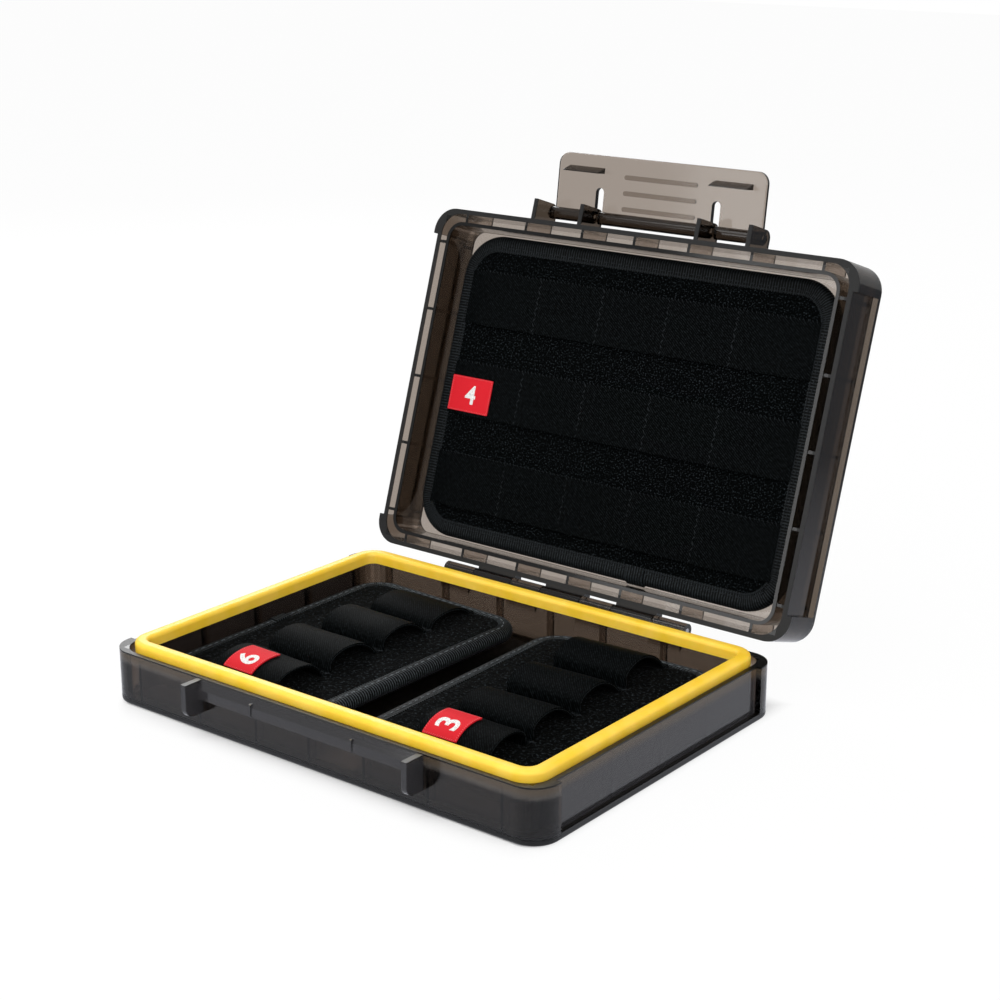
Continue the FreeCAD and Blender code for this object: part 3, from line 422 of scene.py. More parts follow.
def silicone_rubber(colours):
    """Smooth moulded silicone: even saturated colour with a soft gloss and a little depth."""
    tree = new_material("silicone_rubber")
    place = object_place(tree)
    # Faint clouding, about 9 mm, and a fine skin of about half a millimetre
    paler = [channel + (1 - channel) * 0.05 for channel in colours.seal]
    deeper = [channel * 0.94 for channel in colours.seal]
    shade = shades(tree, grain(tree, place, 9, detail=3.0), (0.35, 0.65), deeper, paler)
    skin = bumps(tree, grain(tree, place, 0.5), 0.04, 0.1)
    surface(tree, {"Base Color": shade, "Roughness": 0.38, "IOR": 1.41, "Normal": skin,
                   "Subsurface Weight": 0.12, "Subsurface Scale": 1.5 * MM})


def drawn_steel(colours):
    """Drawn steel wire: bright metal with fine lines along it."""
    tree = new_material("drawn_steel")
    along = add(tree, "ShaderNodeMapping", {
        "Vector": object_place(tree), "Scale": (per_metre(20), per_metre(0.2), per_metre(0.2))})
    lines = add(tree, "ShaderNodeTexNoise", {"Vector": (along, "Vector"), "Scale": 1.0, "Detail": 2.0})
    gloss = spread(tree, (lines, "Fac"), end=(0.22, 0.42))
    surface(tree, {"Base Color": opaque(colours.pin), "Metallic": 1.0, "Roughness": gloss})


def brushed_nylon_plush(colours):
    """Brushed nylon: short curled fibres, black at the roots, with specks where tips catch the light."""
    tree = new_material("brushed_nylon_plush")
    # Fibre tufts of about 0.4 mm, drawn at 0.6 mm so that they show
    tufts = grain(tree, cloth_place(tree), 0.6, detail=3.0, roughness=0.65)
    shade = shades(tree, tufts, (0.55, 0.74), colours.plush, colours.plush_tips)
    surface(tree, {"Base Color": shade, "Roughness": 0.9, "Normal": bumps(tree, tufts, 0.9, 0.35),
                   "Specular IOR Level": 0.02, "Sheen Weight": 0.02, "Sheen Roughness": 0.4})


def woven_cloth(name, ground, raised, across, along, shine, depth, ribbed=0.0, slant=0.0, wander=0.6,
                stops=(0.02, 0.45), sheen=0.0, faint=0.0, fuzzy=0.5):
    """Woven narrow cloth: threads across and along it, or only ribs, the raised ones paler and shiny.

    Sizes of threads, bumps and fuzz are in millimetres, and the slant in degrees.
    """
    tree = new_material(name)
    place = cloth_place(tree)
    grid = add(tree, "ShaderNodeMapping", {
        "Vector": place, "Scale": (per_metre(across), per_metre(along), 1.0),
        "Rotation": (0, 0, math.radians(slant))})
    # A wave texture repeats every 1 / (20 / (2 pi)) of its scale
    one_thread = math.tau / 20
    weft, warp = [(add(tree, "ShaderNodeTexWave", {
        "Vector": (grid, "Vector"), "Scale": one_thread, "Distortion": wander, "Detail": 1.0},
        bands_direction=way), "Fac") for way in ("Y", "X")]
    level = spread(tree, weft, end=(faint, 1.0))
    threads = maths(tree, "MULTIPLY", level, maths(tree, "MAXIMUM", warp, ribbed))
    uneven = maths(tree, "MULTIPLY", threads, grain(tree, place, fuzzy, detail=3.0, roughness=0.7))
    surface(tree, {"Base Color": shades(tree, uneven, stops, ground, raised), "Roughness": 0.6,
                   "Normal": bumps(tree, threads, 0.6, depth), "Specular IOR Level": shine,
                   "Sheen Weight": sheen, "Sheen Roughness": 0.4})


def spun_thread(name, shade, shine):
    """Twisted polyester thread: small bright strands on a darker round body."""
    tree = new_material(name)
    strands = grain(tree, object_place(tree), 0.3)
    darker = [channel * 0.55 for channel in shade]
    tone = shades(tree, strands, (0.35, 0.65), darker, shade)
    surface(tree, {"Base Color": tone, "Roughness": 0.6, "Specular IOR Level": shine})


class CASE_OT_materials(bpy.types.Operator):
    """Mixes the plastics, rubber, steel and cloths"""

    bl_idname = "card_case.materials"
    bl_label = "Materials"

    def execute(self, context):
        colours = context.scene.case_colours
        for part, tinted in (("latch", latch_tint), ("base", base_tint), ("lid", lid_tint)):
            smoky_polycarbonate(colours, "smoky_" + part, tinted)
        silicone_rubber(colours)
        drawn_steel(colours)
        brushed_nylon_plush(colours)
        # Ribbed binding tapes with a rib every millimetre across them; the base's ribs are painted lighter
        # and the lid's darker, standing in for the light that each pad gets
        for pads, ribs in (("base", colours.base_ribs_lit), ("lid", colours.lid_ribs_shaded)):
            woven_cloth("grosgrain_" + pads, colours.tape, ribs, across=0.35, along=1.0, shine=0.1, depth=0.2,
                        ribbed=0.8, stops=(0.2, 0.5), sheen=0.02, fuzzy=0.8)
        # Twilled elastic with slanting threads of about 0.4 mm, drawn at 0.7 mm so that they show
        woven_cloth("twilled_elastic", colours.elastic, colours.elastic_threads, across=0.7, along=0.7,
                    shine=0.02, depth=0.1, ribbed=1.0, slant=38, wander=3.0, stops=(0.37, 0.65), sheen=0.006,
                    faint=0.5, fuzzy=1.0)
        # Satin-woven tag with threads of about 0.3 mm
        deep_red = [channel * 0.72 for channel in colours.tag]
        woven_cloth("satin_tag", deep_red, colours.tag, across=0.3, along=0.3, shine=0.1, depth=0.04)
        paler_red = [channel + (1 - channel) * 0.12 for channel in colours.tag]
        threads = {"black_thread": (colours.thread, 0.1), "edge_thread": (colours.edge_thread, 0.1),
                   "white_thread": (colours.number, 0.3), "red_thread": (paler_red, 0.3)}
        for name, (shade, shine) in threads.items():
            spun_thread(name, shade, shine)
        return {"FINISHED"}


# Drawing helpers

def new_drawing():
    """Empty mesh whose points remember where they lay in the flat cloth."""
    bm = bmesh.new()
    bm.verts.layers.float_vector.new("weave")
    bm.verts.layers.int.new("ring")
    return bm


def keep_weave(bm, scale=1.0):
    """Notes each point's place as its place in the cloth."""
    weave = bm.verts.layers.float_vector["weave"]
    for vert in bm.verts:
        vert[weave] = vert.co * scale


def everything(bm):
    return bm.verts[:] + bm.edges[:] + bm.faces[:]


def shift(bm, step):
    bmesh.ops.translate(bm, verts=bm.verts[:], vec=step)


def carry(bm, matrix):
    bmesh.ops.transform(bm, matrix=matrix, verts=bm.verts[:])


def face_outward(bm):
    bmesh.ops.recalc_face_normals(bm, faces=bm.faces[:])


def lowest_point(bm):
    return min(vert.co.z for vert in bm.verts)


def highest_point(bm):
    return max(vert.co.z for vert in bm.verts)


def points_of(geometry):
    return [item for item in geometry if isinstance(item, bmesh.types.BMVert)]


def edges_between(geometry, verts):
    """Edges among some geometry whose two ends are both among the points."""
    ends = set(verts)
    edges = [item for item in geometry if isinstance(item, bmesh.types.BMEdge)]
    return [edge for edge in edges if edge.verts[0] in ends and edge.verts[1] in ends]


def draw_chain(bm, start, moves):
    """Chain of edges from a point; a move is a straight step, or an arc's centre, axis, angle and count."""
    vert = bmesh.ops.create_vert(bm, co=start)["vert"][0]
    chain = [vert]
    for move in moves:
        if isinstance(move, Vector):
            made = bmesh.ops.extrude_vert_indiv(bm, verts=[vert])
            vert = made["verts"][0]
            bmesh.ops.translate(bm, verts=[vert], vec=move)
            chain.append(vert)
            continue
        centre, axis, angle, count = move
        for _ in range(count):
            made = bmesh.ops.spin(bm, geom=[vert], cent=centre, axis=axis, angle=angle / count, steps=1)
            vert = points_of(made["geom_last"])[0]
            chain.append(vert)
    weave = bm.verts.layers.float_vector["weave"]
    run = 0.0
    for before, after in zip(chain, chain[1:]):
        run += (after.co - before.co).length
        after[weave] = (run, 0, 0)
    return chain


def widen(bm, step, count):
    """Draws all the edges sideways into a sheet, in a number of equal steps."""
    weave = bm.verts.layers.float_vector["weave"]
    edges = bm.edges[:]
    for number in range(count):
        made = bmesh.ops.extrude_edge_only(bm, edges=edges)["geom"]
        verts = points_of(made)
        edges = edges_between(made, verts)
        bmesh.ops.translate(bm, verts=verts, vec=step)
        for vert in verts:
            vert[weave] = (vert[weave].x, (number + 1) * step.length, 0)


def sweep(bm, width, depth, corner, step):
    """Carries a section at the right edge's front end round a rectangle with round corners."""
    weave = bm.verts.layers.float_vector["weave"]
    ring = bm.verts.layers.int["ring"]
    flat_x = width / 2 - corner
    flat_y = depth / 2 - corner
    bends = 2 * max(3, round(corner * math.pi / 4 / step))
    verts = bm.verts[:]
    edges = bm.edges[:]
    run = 0.0
    quarters = [
        (Vector((0, 2 * flat_y, 0)), Vector((flat_x, flat_y, 0))),
        (Vector((-2 * flat_x, 0, 0)), Vector((-flat_x, flat_y, 0))),
        (Vector((0, -2 * flat_y, 0)), Vector((-flat_x, -flat_y, 0))),
        (Vector((2 * flat_x, 0, 0)), Vector((flat_x, -flat_y, 0))),
    ]
    for quarter, (side, centre) in enumerate(quarters):
        # Straight side, drawn in one piece and then cut into rings
        rings = 2 * max(1, round(side.length / 2 / step))
        before = set(verts)
        made = bmesh.ops.extrude_edge_only(bm, edges=edges)["geom"]
        verts = points_of(made)
        bmesh.ops.translate(bm, verts=verts, vec=side)
        for vert in verts:
            vert[weave] = (vert[weave].x, run + side.length, 0)
        rails = [edge for vert in verts for edge in vert.link_edges if edge.other_vert(vert) in before]
        cut = bmesh.ops.subdivide_edges(bm, edges=rails, cuts=rings - 1, use_grid_fill=True)["geom_inner"]
        for vert in points_of(cut):
            vert[ring] = round((vert[weave].y - run) / side.length * rings) % 2
        run += side.length
        verts = [vert for vert in bm.verts if abs(vert[weave].y - run) < SAME_RUN]
        edges = edges_between(bm.edges, verts)
        # Round corner
        known = set(bm.verts)
        turned = bmesh.ops.spin(bm, geom=verts + edges, cent=centre, axis=(0, 0, 1), angle=math.pi / 2,
                                steps=bends)
        verts = points_of(turned["geom_last"])
        edges = edges_between(turned["geom_last"], verts)
        for vert in bm.verts:
            if vert not in known:
                spoke = vert.co - centre
                angle = (math.atan2(spoke.y, spoke.x) - quarter * math.pi / 2) % math.tau
                vert[weave] = (vert[weave].x, run + corner * angle, 0)
                vert[ring] = round(angle / (math.pi / 2) * bends) % 2
        run += corner * math.pi / 2
    bmesh.ops.remove_doubles(bm, verts=bm.verts[:], dist=MERGE)
    return run


def panel(bm, width, depth, corner, cell):
    """Level sheet with round corners, meshed in cells."""
    bmesh.ops.create_grid(bm, x_segments=round(width / cell), y_segments=round(depth / cell), size=1)
    bmesh.ops.scale(bm, verts=bm.verts[:], vec=(width / 2, depth / 2, 1))
    facets = 8
    for side_x in (-1, 1):
        for side_y in (-1, 1):
            centre = Vector((side_x * (width / 2 - corner), side_y * (depth / 2 - corner), 0))
            for number in range(facets):
                angle = math.pi / 2 * (number + 0.5) / facets
                outward = Vector((side_x * math.cos(angle), side_y * math.sin(angle), 0))
                bmesh.ops.bisect_plane(bm, geom=everything(bm),
                                       plane_co=centre + outward * corner, plane_no=outward, clear_outer=True)


def thicken(bm, thickness):
    """Gives a sheet its thickness and turns its faces outward."""
    face_outward(bm)
    bmesh.ops.solidify(bm, geom=bm.faces[:], thickness=thickness)
    face_outward(bm)


def stitch(place, heading, run, width):
    """Place, turn and stretch of one short stitch of thread lying on cloth."""
    stretch = Matrix.Diagonal((width, run, width, 1))
    return Matrix.Translation(place) @ Matrix.Rotation(heading, 4, "Z") @ stretch


def sew(stitches):
    """Drawing of many stitches, in batches because a drawing slows as it grows."""
    batch = 40
    whole = bmesh.new()
    for start in range(0, len(stitches), batch):
        bm = bmesh.new()
        for matrix in stitches[start:start + batch]:
            bmesh.ops.create_uvsphere(bm, u_segments=6, v_segments=4, radius=0.5, matrix=matrix)
        mesh = bpy.data.meshes.new("batch")
        bm.to_mesh(mesh)
        bm.free()
        whole.from_mesh(mesh)
        bpy.data.meshes.remove(mesh)
    return whole


def outline_places(width, depth, corner, pitch):
    """Places and headings along a rectangle with round corners, a pitch apart."""
    halves = (width / 2, depth / 2)
    arc = corner * math.pi / 2
    total = 4 * (halves[0] + halves[1] - 2 * corner) + 4 * arc
    count = round(total / pitch)
    for number in range(count):
        run = number * total / count
        for quarter in range(4):
            out = halves[quarter % 2]
            flat = halves[1 - quarter % 2] - corner
            if run < 2 * flat + arc:
                break
            run -= 2 * flat + arc
        bend = max(0.0, run - 2 * flat) / corner
        if bend > 0:
            spot = Vector((out - corner + corner * math.cos(bend), flat + corner * math.sin(bend), 0))
        else:
            spot = Vector((out, run - flat, 0))
        heading = quarter * math.pi / 2
        yield Matrix.Rotation(heading, 3, "Z") @ spot, heading + bend


def finish_piece(name, bm, place, material, body, stands_for=(), sharp=40):
    """Turns a drawing into a piece that stands in its place and moves with its body."""
    carry(bm, place)
    mesh = bpy.data.meshes.new(name)
    bm.to_mesh(mesh)
    bm.free()
    mesh.polygons.foreach_set("use_smooth", [True] * len(mesh.polygons))
    mesh.set_sharp_from_angle(angle=math.radians(sharp))
    mesh.materials.append(bpy.data.materials[material])
    piece = bpy.data.objects.new(name, mesh)
    bpy.context.scene.collection.objects.link(piece)
    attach(piece, body)
    if stands_for:
        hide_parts(*stands_for)
    return piece


def shut_box(node):
    """Lowest and highest corner of a node of the lid when the case is shut."""
    shut = LID_OPEN.inverted()
    points = [shut @ vert.co for vert in frame["nodes"][node].data.vertices]
    low = Vector([min(point[axis] for point in points) for axis in range(3)])
    high = Vector([max(point[axis] for point in points) for axis in range(3)])
    return low, high


# Shells, latch and pin: their solids are right as they are

class CASE_OT_shells(bpy.types.Operator):
    """Gives the moulded shells, the latch and the hinge pin their materials"""

    bl_idname = "card_case.shells"
    bl_label = "Shells, latch and pin"

    def execute(self, context):
        finishes = {"base_shell": "smoky_base", "lid_shell": "smoky_lid", "latch": "smoky_latch",
                    "hinge_pin": "drawn_steel"}
        for node, material in finishes.items():
            for holder in frame["nodes"][node].material_slots:
                holder.material = bpy.data.materials[material]
        return {"FINISHED"}


# Seal

class CASE_OT_seal(bpy.types.Operator):
    """Moulds the rubber seal on the inner wall of the base"""

    bl_idname = "card_case.seal"
    bl_label = "Seal"

    def execute(self, context):
        low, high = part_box("gasket")
        wide = 4.4 * MM
        rounding = 1.4 * MM
        slot_half = 0.65 * MM
        slot_rise = 0.7 * MM
        corner = 7.6 * MM
        ring_step = 4 * MM
        width = high.x - low.x
        depth = high.y - low.y
        front = -(depth / 2 - corner)
        tall = high.z - low.z
        outer = width / 2
        bm = new_drawing()
        along_y = (0, 1, 0)
        draw_chain(bm, Vector((outer - wide, front, low.z)), [
            Vector((0, 0, tall - rounding)),
            (Vector((outer - wide + rounding, front, high.z - rounding)), along_y, math.pi / 2, 6),
            Vector((wide - 2 * rounding, 0, 0)),
            (Vector((outer - rounding, front, high.z - rounding)), along_y, math.pi / 2, 6),
            Vector((0, 0, rounding - tall)),
            Vector((slot_half - wide / 2, 0, 0)),
            Vector((0, 0, slot_rise)),
            Vector((-2 * slot_half, 0, 0)),
            Vector((0, 0, -slot_rise)),
            Vector((slot_half - wide / 2, 0, 0)),
        ])
        bmesh.ops.remove_doubles(bm, verts=bm.verts[:], dist=MERGE)
        sweep(bm, width, depth, corner, ring_step)
        face_outward(bm)
        place = Matrix.Translation(((low.x + high.x) / 2, (low.y + high.y) / 2, 0))
        seal = finish_piece("seal", bm, place, "silicone_rubber", "base", ["gasket"], sharp=50)
        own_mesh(seal)
        return {"FINISHED"}


# Sewn pads, drawn level about their middle with the face to the viewer upward

class Pad:
    """One sewn pad: its place and outline, how it bends, its tape's lip and join, and its plush's grain."""

    def __init__(self, prefix, body, box, place, corner, lift, lip, join, grain):
        low, high = box
        self.prefix = prefix
        self.body = body
        self.place = place
        self.width = high.x - low.x
        self.depth = high.y - low.y
        self.middle = (low + high) / 2
        self.roll = (high.z - low.z) / 2
        self.corner = corner
        self.lift = lift
        self.lip = lip
        self.join = join
        self.grain = grain

    def settle(self, bm):
        """Bends drawn pieces with the pad."""
        for vert in bm.verts:
            vert.co.z += self.lift(vert.co.x / (self.width / 2), vert.co.y / (self.depth / 2))

    def finish(self, name, bm, material, slot, nodes=(), sharp=40):
        self.settle(bm)
        stands_for = [self.prefix + "_" + node for node in nodes]
        full_name = self.prefix + "_" + name
        return finish_piece(full_name, bm, self.place, material, self.body, stands_for, sharp)


def corner_lift(front_left, front_right, back_left, back_right, bow):
    """How a pad's corners stand over level, in millimetres, with a bow across its middle."""

    def lift(across, along):
        right = (across + 1) / 2
        back = (along + 1) / 2
        front_edge = front_left * (1 - right) + front_right * right
        back_edge = back_left * (1 - right) + back_right * right
        level = front_edge * (1 - back) + back_edge * back
        return (level + bow * (1 - across * across) * (1 - along * along)) * MM

    return lift


def plush(pad, size, half, nodes):
    """Board covered with plush on both faces, a little crowned, with an uneven pile."""
    bm = new_drawing()
    width = pad.width - 2 * size.tape_inset
    depth = pad.depth - 2 * size.tape_inset
    panel(bm, width, depth, pad.corner - size.tape_inset, size.cell)
    keep_weave(bm, 1 / pad.grain)
    shift(bm, (0, 0, half))
    lower = bmesh.ops.duplicate(bm, geom=everything(bm))["geom"]
    bmesh.ops.translate(bm, verts=points_of(lower), vec=(0, 0, -2 * half))
    rims = [edge for edge in bm.edges if edge.is_boundary]
    bmesh.ops.bridge_loops(bm, edges=rims)
    slope = 4 * MM
    finer = 2.3
    fine_share = 0.6
    for vert in bm.verts:
        side = 1 if vert.co.z > 0 else -1
        inside = min(width / 2 - abs(vert.co.x), depth / 2 - abs(vert.co.y)) / slope
        share = min(1.0, max(0.0, inside))
        spot = Vector((vert.co.x, vert.co.y, side)) / size.plush_clump
        pile = noise.noise(spot) + fine_share * noise.noise(spot * finer)
        vert.co.z += side * share * (size.crown + size.plush_pile * pile)
    face_outward(bm)
    piece = pad.finish("plush", bm, "brushed_nylon_plush", "plush_cloth", nodes)
    return piece


def tape(pad, size, plush_piece):
    """Ribbed tape rolled over the edge of a pad, and its stitches; the lid's has a chain of them too."""
    bm = new_drawing()
    roll = pad.roll - size.rib_height
    edge = pad.width / 2 - size.rib_height
    front = -(pad.depth / 2 - pad.corner)
    lip = pad.lip - roll
    dip = 0.1 * MM
    draw_chain(bm, Vector((edge - roll - lip, front, roll - dip)), [
        Vector((lip / 2, 0, 0)),
        Vector((lip / 2, 0, dip)),
        (Vector((edge - roll, front, 0)), (0, 1, 0), math.pi, 10),
        Vector((-lip / 2, 0, dip)),
        Vector((-lip / 2, 0, 0)),
    ])
    around = sweep(bm, pad.width, pad.depth, pad.corner, size.rib_pitch / 2)
    face_outward(bm)
    bm.normal_update()
    outward = 1 if sum(face.normal.z * face.calc_center_median().z for face in bm.faces) > 0 else -1
    ring = bm.verts.layers.int["ring"]
    weave = bm.verts.layers.float_vector["weave"]
    for vert in bm.verts:
        if vert[ring]:
            vert.co += vert.normal * outward * size.rib_height
        if abs(vert[weave].y - pad.join * around) < size.join / 2:
            vert.co += vert.normal * outward * size.join_rise
    bmesh.ops.solidify(bm, geom=bm.faces[:], thickness=outward * size.tape_thickness)
    face_outward(bm)
    piece = pad.finish("tape", bm, "grosgrain_" + pad.body, "binding_tape", ["binding"], sharp=60)
    stitches = []
    chain_pitch = 0.8 * size.stitch
    rows = [(size.stitch_inset, size.stitch_pitch)]
    if pad.body == "lid":
        rows.append((size.chain_inset, chain_pitch))
    level = roll + 0.05 * MM
    for side in (-1, 1):
        for inner_inset, pitch in rows:
            inset = pad.lip - inner_inset
            outline = (pad.width - 2 * inset, pad.depth - 2 * inset, pad.corner - inset)
            for spot, heading in outline_places(*outline, pitch):
                place = spot + Vector((0, 0, side * level))
                stitches.append(stitch(place, heading, size.stitch, size.stitch_width))
    spun = "edge_thread" if pad.body == "base" else "black_thread"
    thread = pad.finish("tape_stitches", sew(stitches), spun, "binding_tape")


def arch(pitch, rise, size):
    """Half opening, radius and centre's height of the middle line of a loop over the cloth."""
    half = (pitch - size.seam) / 2 - size.strip
    inner = (half * half + rise * rise) / (2 * rise)
    radius = inner + size.strip / 2
    centre = rise - inner
    foot = math.sqrt(radius ** 2 - (size.strip / 2 - centre) ** 2)
    return foot, radius, centre


def seam_drift(share, drift):
    """How far a seam has moved to the back, most in the middle of its strip."""
    return drift * MM * (1 - (2 * share - 1) ** 2)


def slacken(bm, pitch, crest, heights, leans, drift):
    """Gives each drawn loop its own height and lean to the front; it is steeper where it leans to."""
    steepest = 0.3
    roundness = 0.7
    wave = 16 * MM
    wave_height = 0.5 * MM
    count = len(heights)
    for vert in bm.verts:
        along = vert.co.y / pitch + count / 2
        number = min(count - 1, max(0, int(along)))
        phase = min(1.0, max(0.0, along - number))
        steeper = min(1.0, max(-1.0, leans[number] / steepest))
        fullness = roundness + (1 - roundness) * steeper * (2 * phase - 1)
        height = max(0.0, vert.co.z) / crest
        vert.co.z = heights[number] * crest * height ** fullness
        spot = Vector((vert.co.x, vert.co.y, 0)) / wave
        vert.co.z += wave_height * noise.noise(spot) * min(1.0, height)
        vert.co.y -= leans[number] * vert.co.z
        vert.co.y += seam_drift(along / count, drift)


def strip_path(bm, out):
    """Side view of a drawn strip: places along its left edge, moved out of its loops by a distance."""
    weave = bm.verts.layers.float_vector["weave"]
    edge = sorted((vert for vert in bm.verts if vert[weave].y == 0), key=lambda vert: vert[weave].x)
    places = [vert.co.copy() for vert in edge]
    moved = []
    for number, place in enumerate(places):
        heading = places[min(number + 1, len(places) - 1)] - places[max(number - 1, 0)]
        moved.append(place + out * Vector((0, -heading.z, heading.y)).normalized())
    return moved


def along_path(path, run):
    """Place and outward direction at a run along a side view."""
    for before, after in zip(path, path[1:]):
        step = (after - before).yz.length
        if run <= step or after is path[-1]:
            break
        run -= step
    heading = Vector((0, after.y - before.y, after.z - before.z)).normalized()
    outward = Vector((0, -heading.z, heading.y))
    return before + heading * run, outward


def looped_strip(size, pitch, rise, width, count):
    """Middle sheet of an elastic strip with even loops, sewn down at Z = 0."""
    foot, radius, centre = arch(pitch, rise, size)
    middle_line = size.strip / 2
    half_angle = math.asin(foot / radius)
    end = Vector((0, size.strip_margin + pitch / 2 - foot, 0))
    moves = [end]
    for number in range(count):
        y = (number - (count - 1) / 2) * pitch
        moves.append((Vector((-width / 2, y, centre)), (-1, 0, 0), 2 * half_angle, 18))
        last = number == count - 1
        moves.append(end if last else Vector((0, pitch - 2 * foot, 0)))
    bm = new_drawing()
    draw_chain(bm, Vector((-width / 2, -count * pitch / 2 - size.strip_margin, middle_line)), moves)
    steps = 14
    widen(bm, Vector((width / steps, 0, 0)), steps)
    face_outward(bm)
    shift(bm, (0, 0, -middle_line))
    return bm


def seam_stitches(size, width, level, lines):
    """Stitches across a looped strip, along the line of each seam."""
    stitches = []
    for y in lines:
        for number in range(int(width / size.stitch_pitch)):
            spot = Vector((-width / 2 + (number + 0.7) * size.stitch_pitch, y, level))
            stitches.append(stitch(spot, math.pi / 2, size.stitch, size.stitch_width))
    return stitches


def edge_threads(size, width, path):
    """Threads along both edges of a looped strip, just inside its outer face."""
    threads = []
    for before, after in zip(path, path[1:]):
        heading = (after - before).normalized()
        outward = Vector((0, -heading.z, heading.y))
        middle = (before + after) / 2 - outward * size.strip / 2
        turned = Matrix((Vector((1, 0, 0)), heading, outward)).transposed().to_4x4()
        stretch = Matrix.Diagonal((size.edge_width, (after - before).length, size.edge_width, 1))
        for side in (-1, 1):
            spot = Matrix.Translation((side * width / 2, middle.y, middle.z))
            threads.append(spot @ turned @ stretch)
    return threads


def loose_threads(size, width, level, lines):
    """Two loose ends of thread past the right end of each seam."""
    past_edge = 0.5 * MM
    slants = (0.5, 1.3)
    spots = [Vector((width / 2 + past_edge, y, level)) for y in lines]
    return [stitch(spot, math.pi / 2 + slant, size.stitch, size.stitch_width)
            for spot in spots for slant in slants]


def loops(pad, size, half, node, rise, width, count, slack, over=False):
    """Elastic strip along the pad, sewn down between its loops, and its stitches."""
    low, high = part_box(pad.prefix + "_" + node)
    pitch = (high.y - low.y - 2 * size.strip_margin) / count
    bm = looped_strip(size, pitch, rise, width, count)
    slacken(bm, pitch, rise, *slack)
    bm.normal_update()
    middle_path = strip_path(bm, 0)
    outer_path = strip_path(bm, size.strip)
    crown = highest_point(bm)
    bmesh.ops.solidify(bm, geom=bm.faces[:], thickness=size.strip)
    # The sheet may have grown inward instead
    if highest_point(bm) < crown + size.strip / 2:
        outer_path = middle_path
    on_cloth = Vector((0, 0, half - lowest_point(bm)))
    shift(bm, on_cloth)
    face_outward(bm)
    outer_path = [place + on_cloth for place in outer_path]
    drift = slack[2]
    lines = [(number - count / 2) * pitch + seam_drift(number / count, drift) for number in range(count + 1)]
    level = half + size.strip
    sewn = sew(seam_stitches(size, width, level, lines))
    edged = sew(edge_threads(size, width, outer_path) + loose_threads(size, width, level, lines[1:-1]))
    aside = Matrix.Translation(((low.x + high.x) / 2 - pad.middle.x, 0, 0))
    for drawing in (bm, sewn, edged):
        if over:
            carry(drawing, OVER)
        carry(drawing, aside)
    name = "under_elastic" if over else "top_elastic"
    piece = pad.finish(name, bm, "twilled_elastic", "elastic", [node], sharp=60)
    threads = [pad.finish(name + "_stitches", sewn, "black_thread", "elastic"),
               pad.finish(name + "_edges", edged, "black_thread", "elastic")]
    return outer_path


def number_drawing(text, height, slices):
    """Plain number with a little thickness, sliced so that it can bend."""
    figure_share = 0.7
    bolder = 0.03
    thickness = 0.08 * MM
    face = bpy.data.curves.new("number_outline", "FONT")
    face.body = text
    face.size = height / figure_share
    face.offset = bolder * height
    face.align_x = "CENTER"
    face.align_y = "CENTER"
    face.resolution_u = 5
    outline = bpy.data.objects.new("number_outline", face)
    mesh = bpy.data.meshes.new_from_object(outline)
    bm = bmesh.new()
    bm.from_mesh(mesh)
    bpy.data.meshes.remove(mesh)
    bpy.data.objects.remove(outline)
    bmesh.ops.remove_doubles(bm, verts=bm.verts[:], dist=0.005 * MM)
    middle = [sum(limit(vert.co[axis] for vert in bm.verts) for limit in (min, max)) / 2 for axis in (0, 1)]
    shift(bm, (-middle[0], -middle[1], 0))
    for number in range(-slices, slices + 1):
        bmesh.ops.bisect_plane(bm, geom=everything(bm),
                               plane_co=(number * height / 2 / slices, 0, 0), plane_no=(1, 0, 0))
    made = bmesh.ops.extrude_face_region(bm, geom=bm.faces[:])["geom"]
    bmesh.ops.translate(bm, verts=points_of(made), vec=(0, 0, thickness))
    face_outward(bm)
    return bm


def lay_along(bm, path, run):
    """Lays flat work on a looped strip, with its Y along the strip from a run on its side view."""
    for vert in bm.verts:
        place, outward = along_path(path, run + vert.co.y)
        spot = place + outward * vert.co.z
        vert.co.y = spot.y
        vert.co.z = spot.z


def tag_drawings(width, depth, thickness):
    """Flat index tag with its lower face at Z = 0, and its fine whipped edge."""
    corner = 0.3 * MM
    cell = 0.6 * MM
    cloth = new_drawing()
    panel(cloth, width, depth, corner, cell)
    keep_weave(cloth)
    thicken(cloth, thickness)
    shift(cloth, (0, 0, -lowest_point(cloth)))
    inset = 0.35 * MM
    pitch = 0.75 * MM
    thread = 0.2 * MM
    slant = math.radians(60)
    rise = Vector((0, 0, thickness))
    places = outline_places(width - 2 * inset, depth - 2 * inset, corner, pitch)
    rim = sew([stitch(spot + rise, heading + slant, pitch, thread) for spot, heading in places])
    return cloth, rim


def finish_tag(pad, drawings):
    """Pieces of a tag: its cloth, its edge and its number."""
    cloth, rim, figure = drawings
    piece = pad.finish("label", cloth, "satin_tag", "tag_cloth", ["tag"])
    whipped = pad.finish("label_edge", rim, "red_thread", "tag_cloth")
    figure_piece = pad.finish("label_number", figure, "white_thread", "tag_cloth")


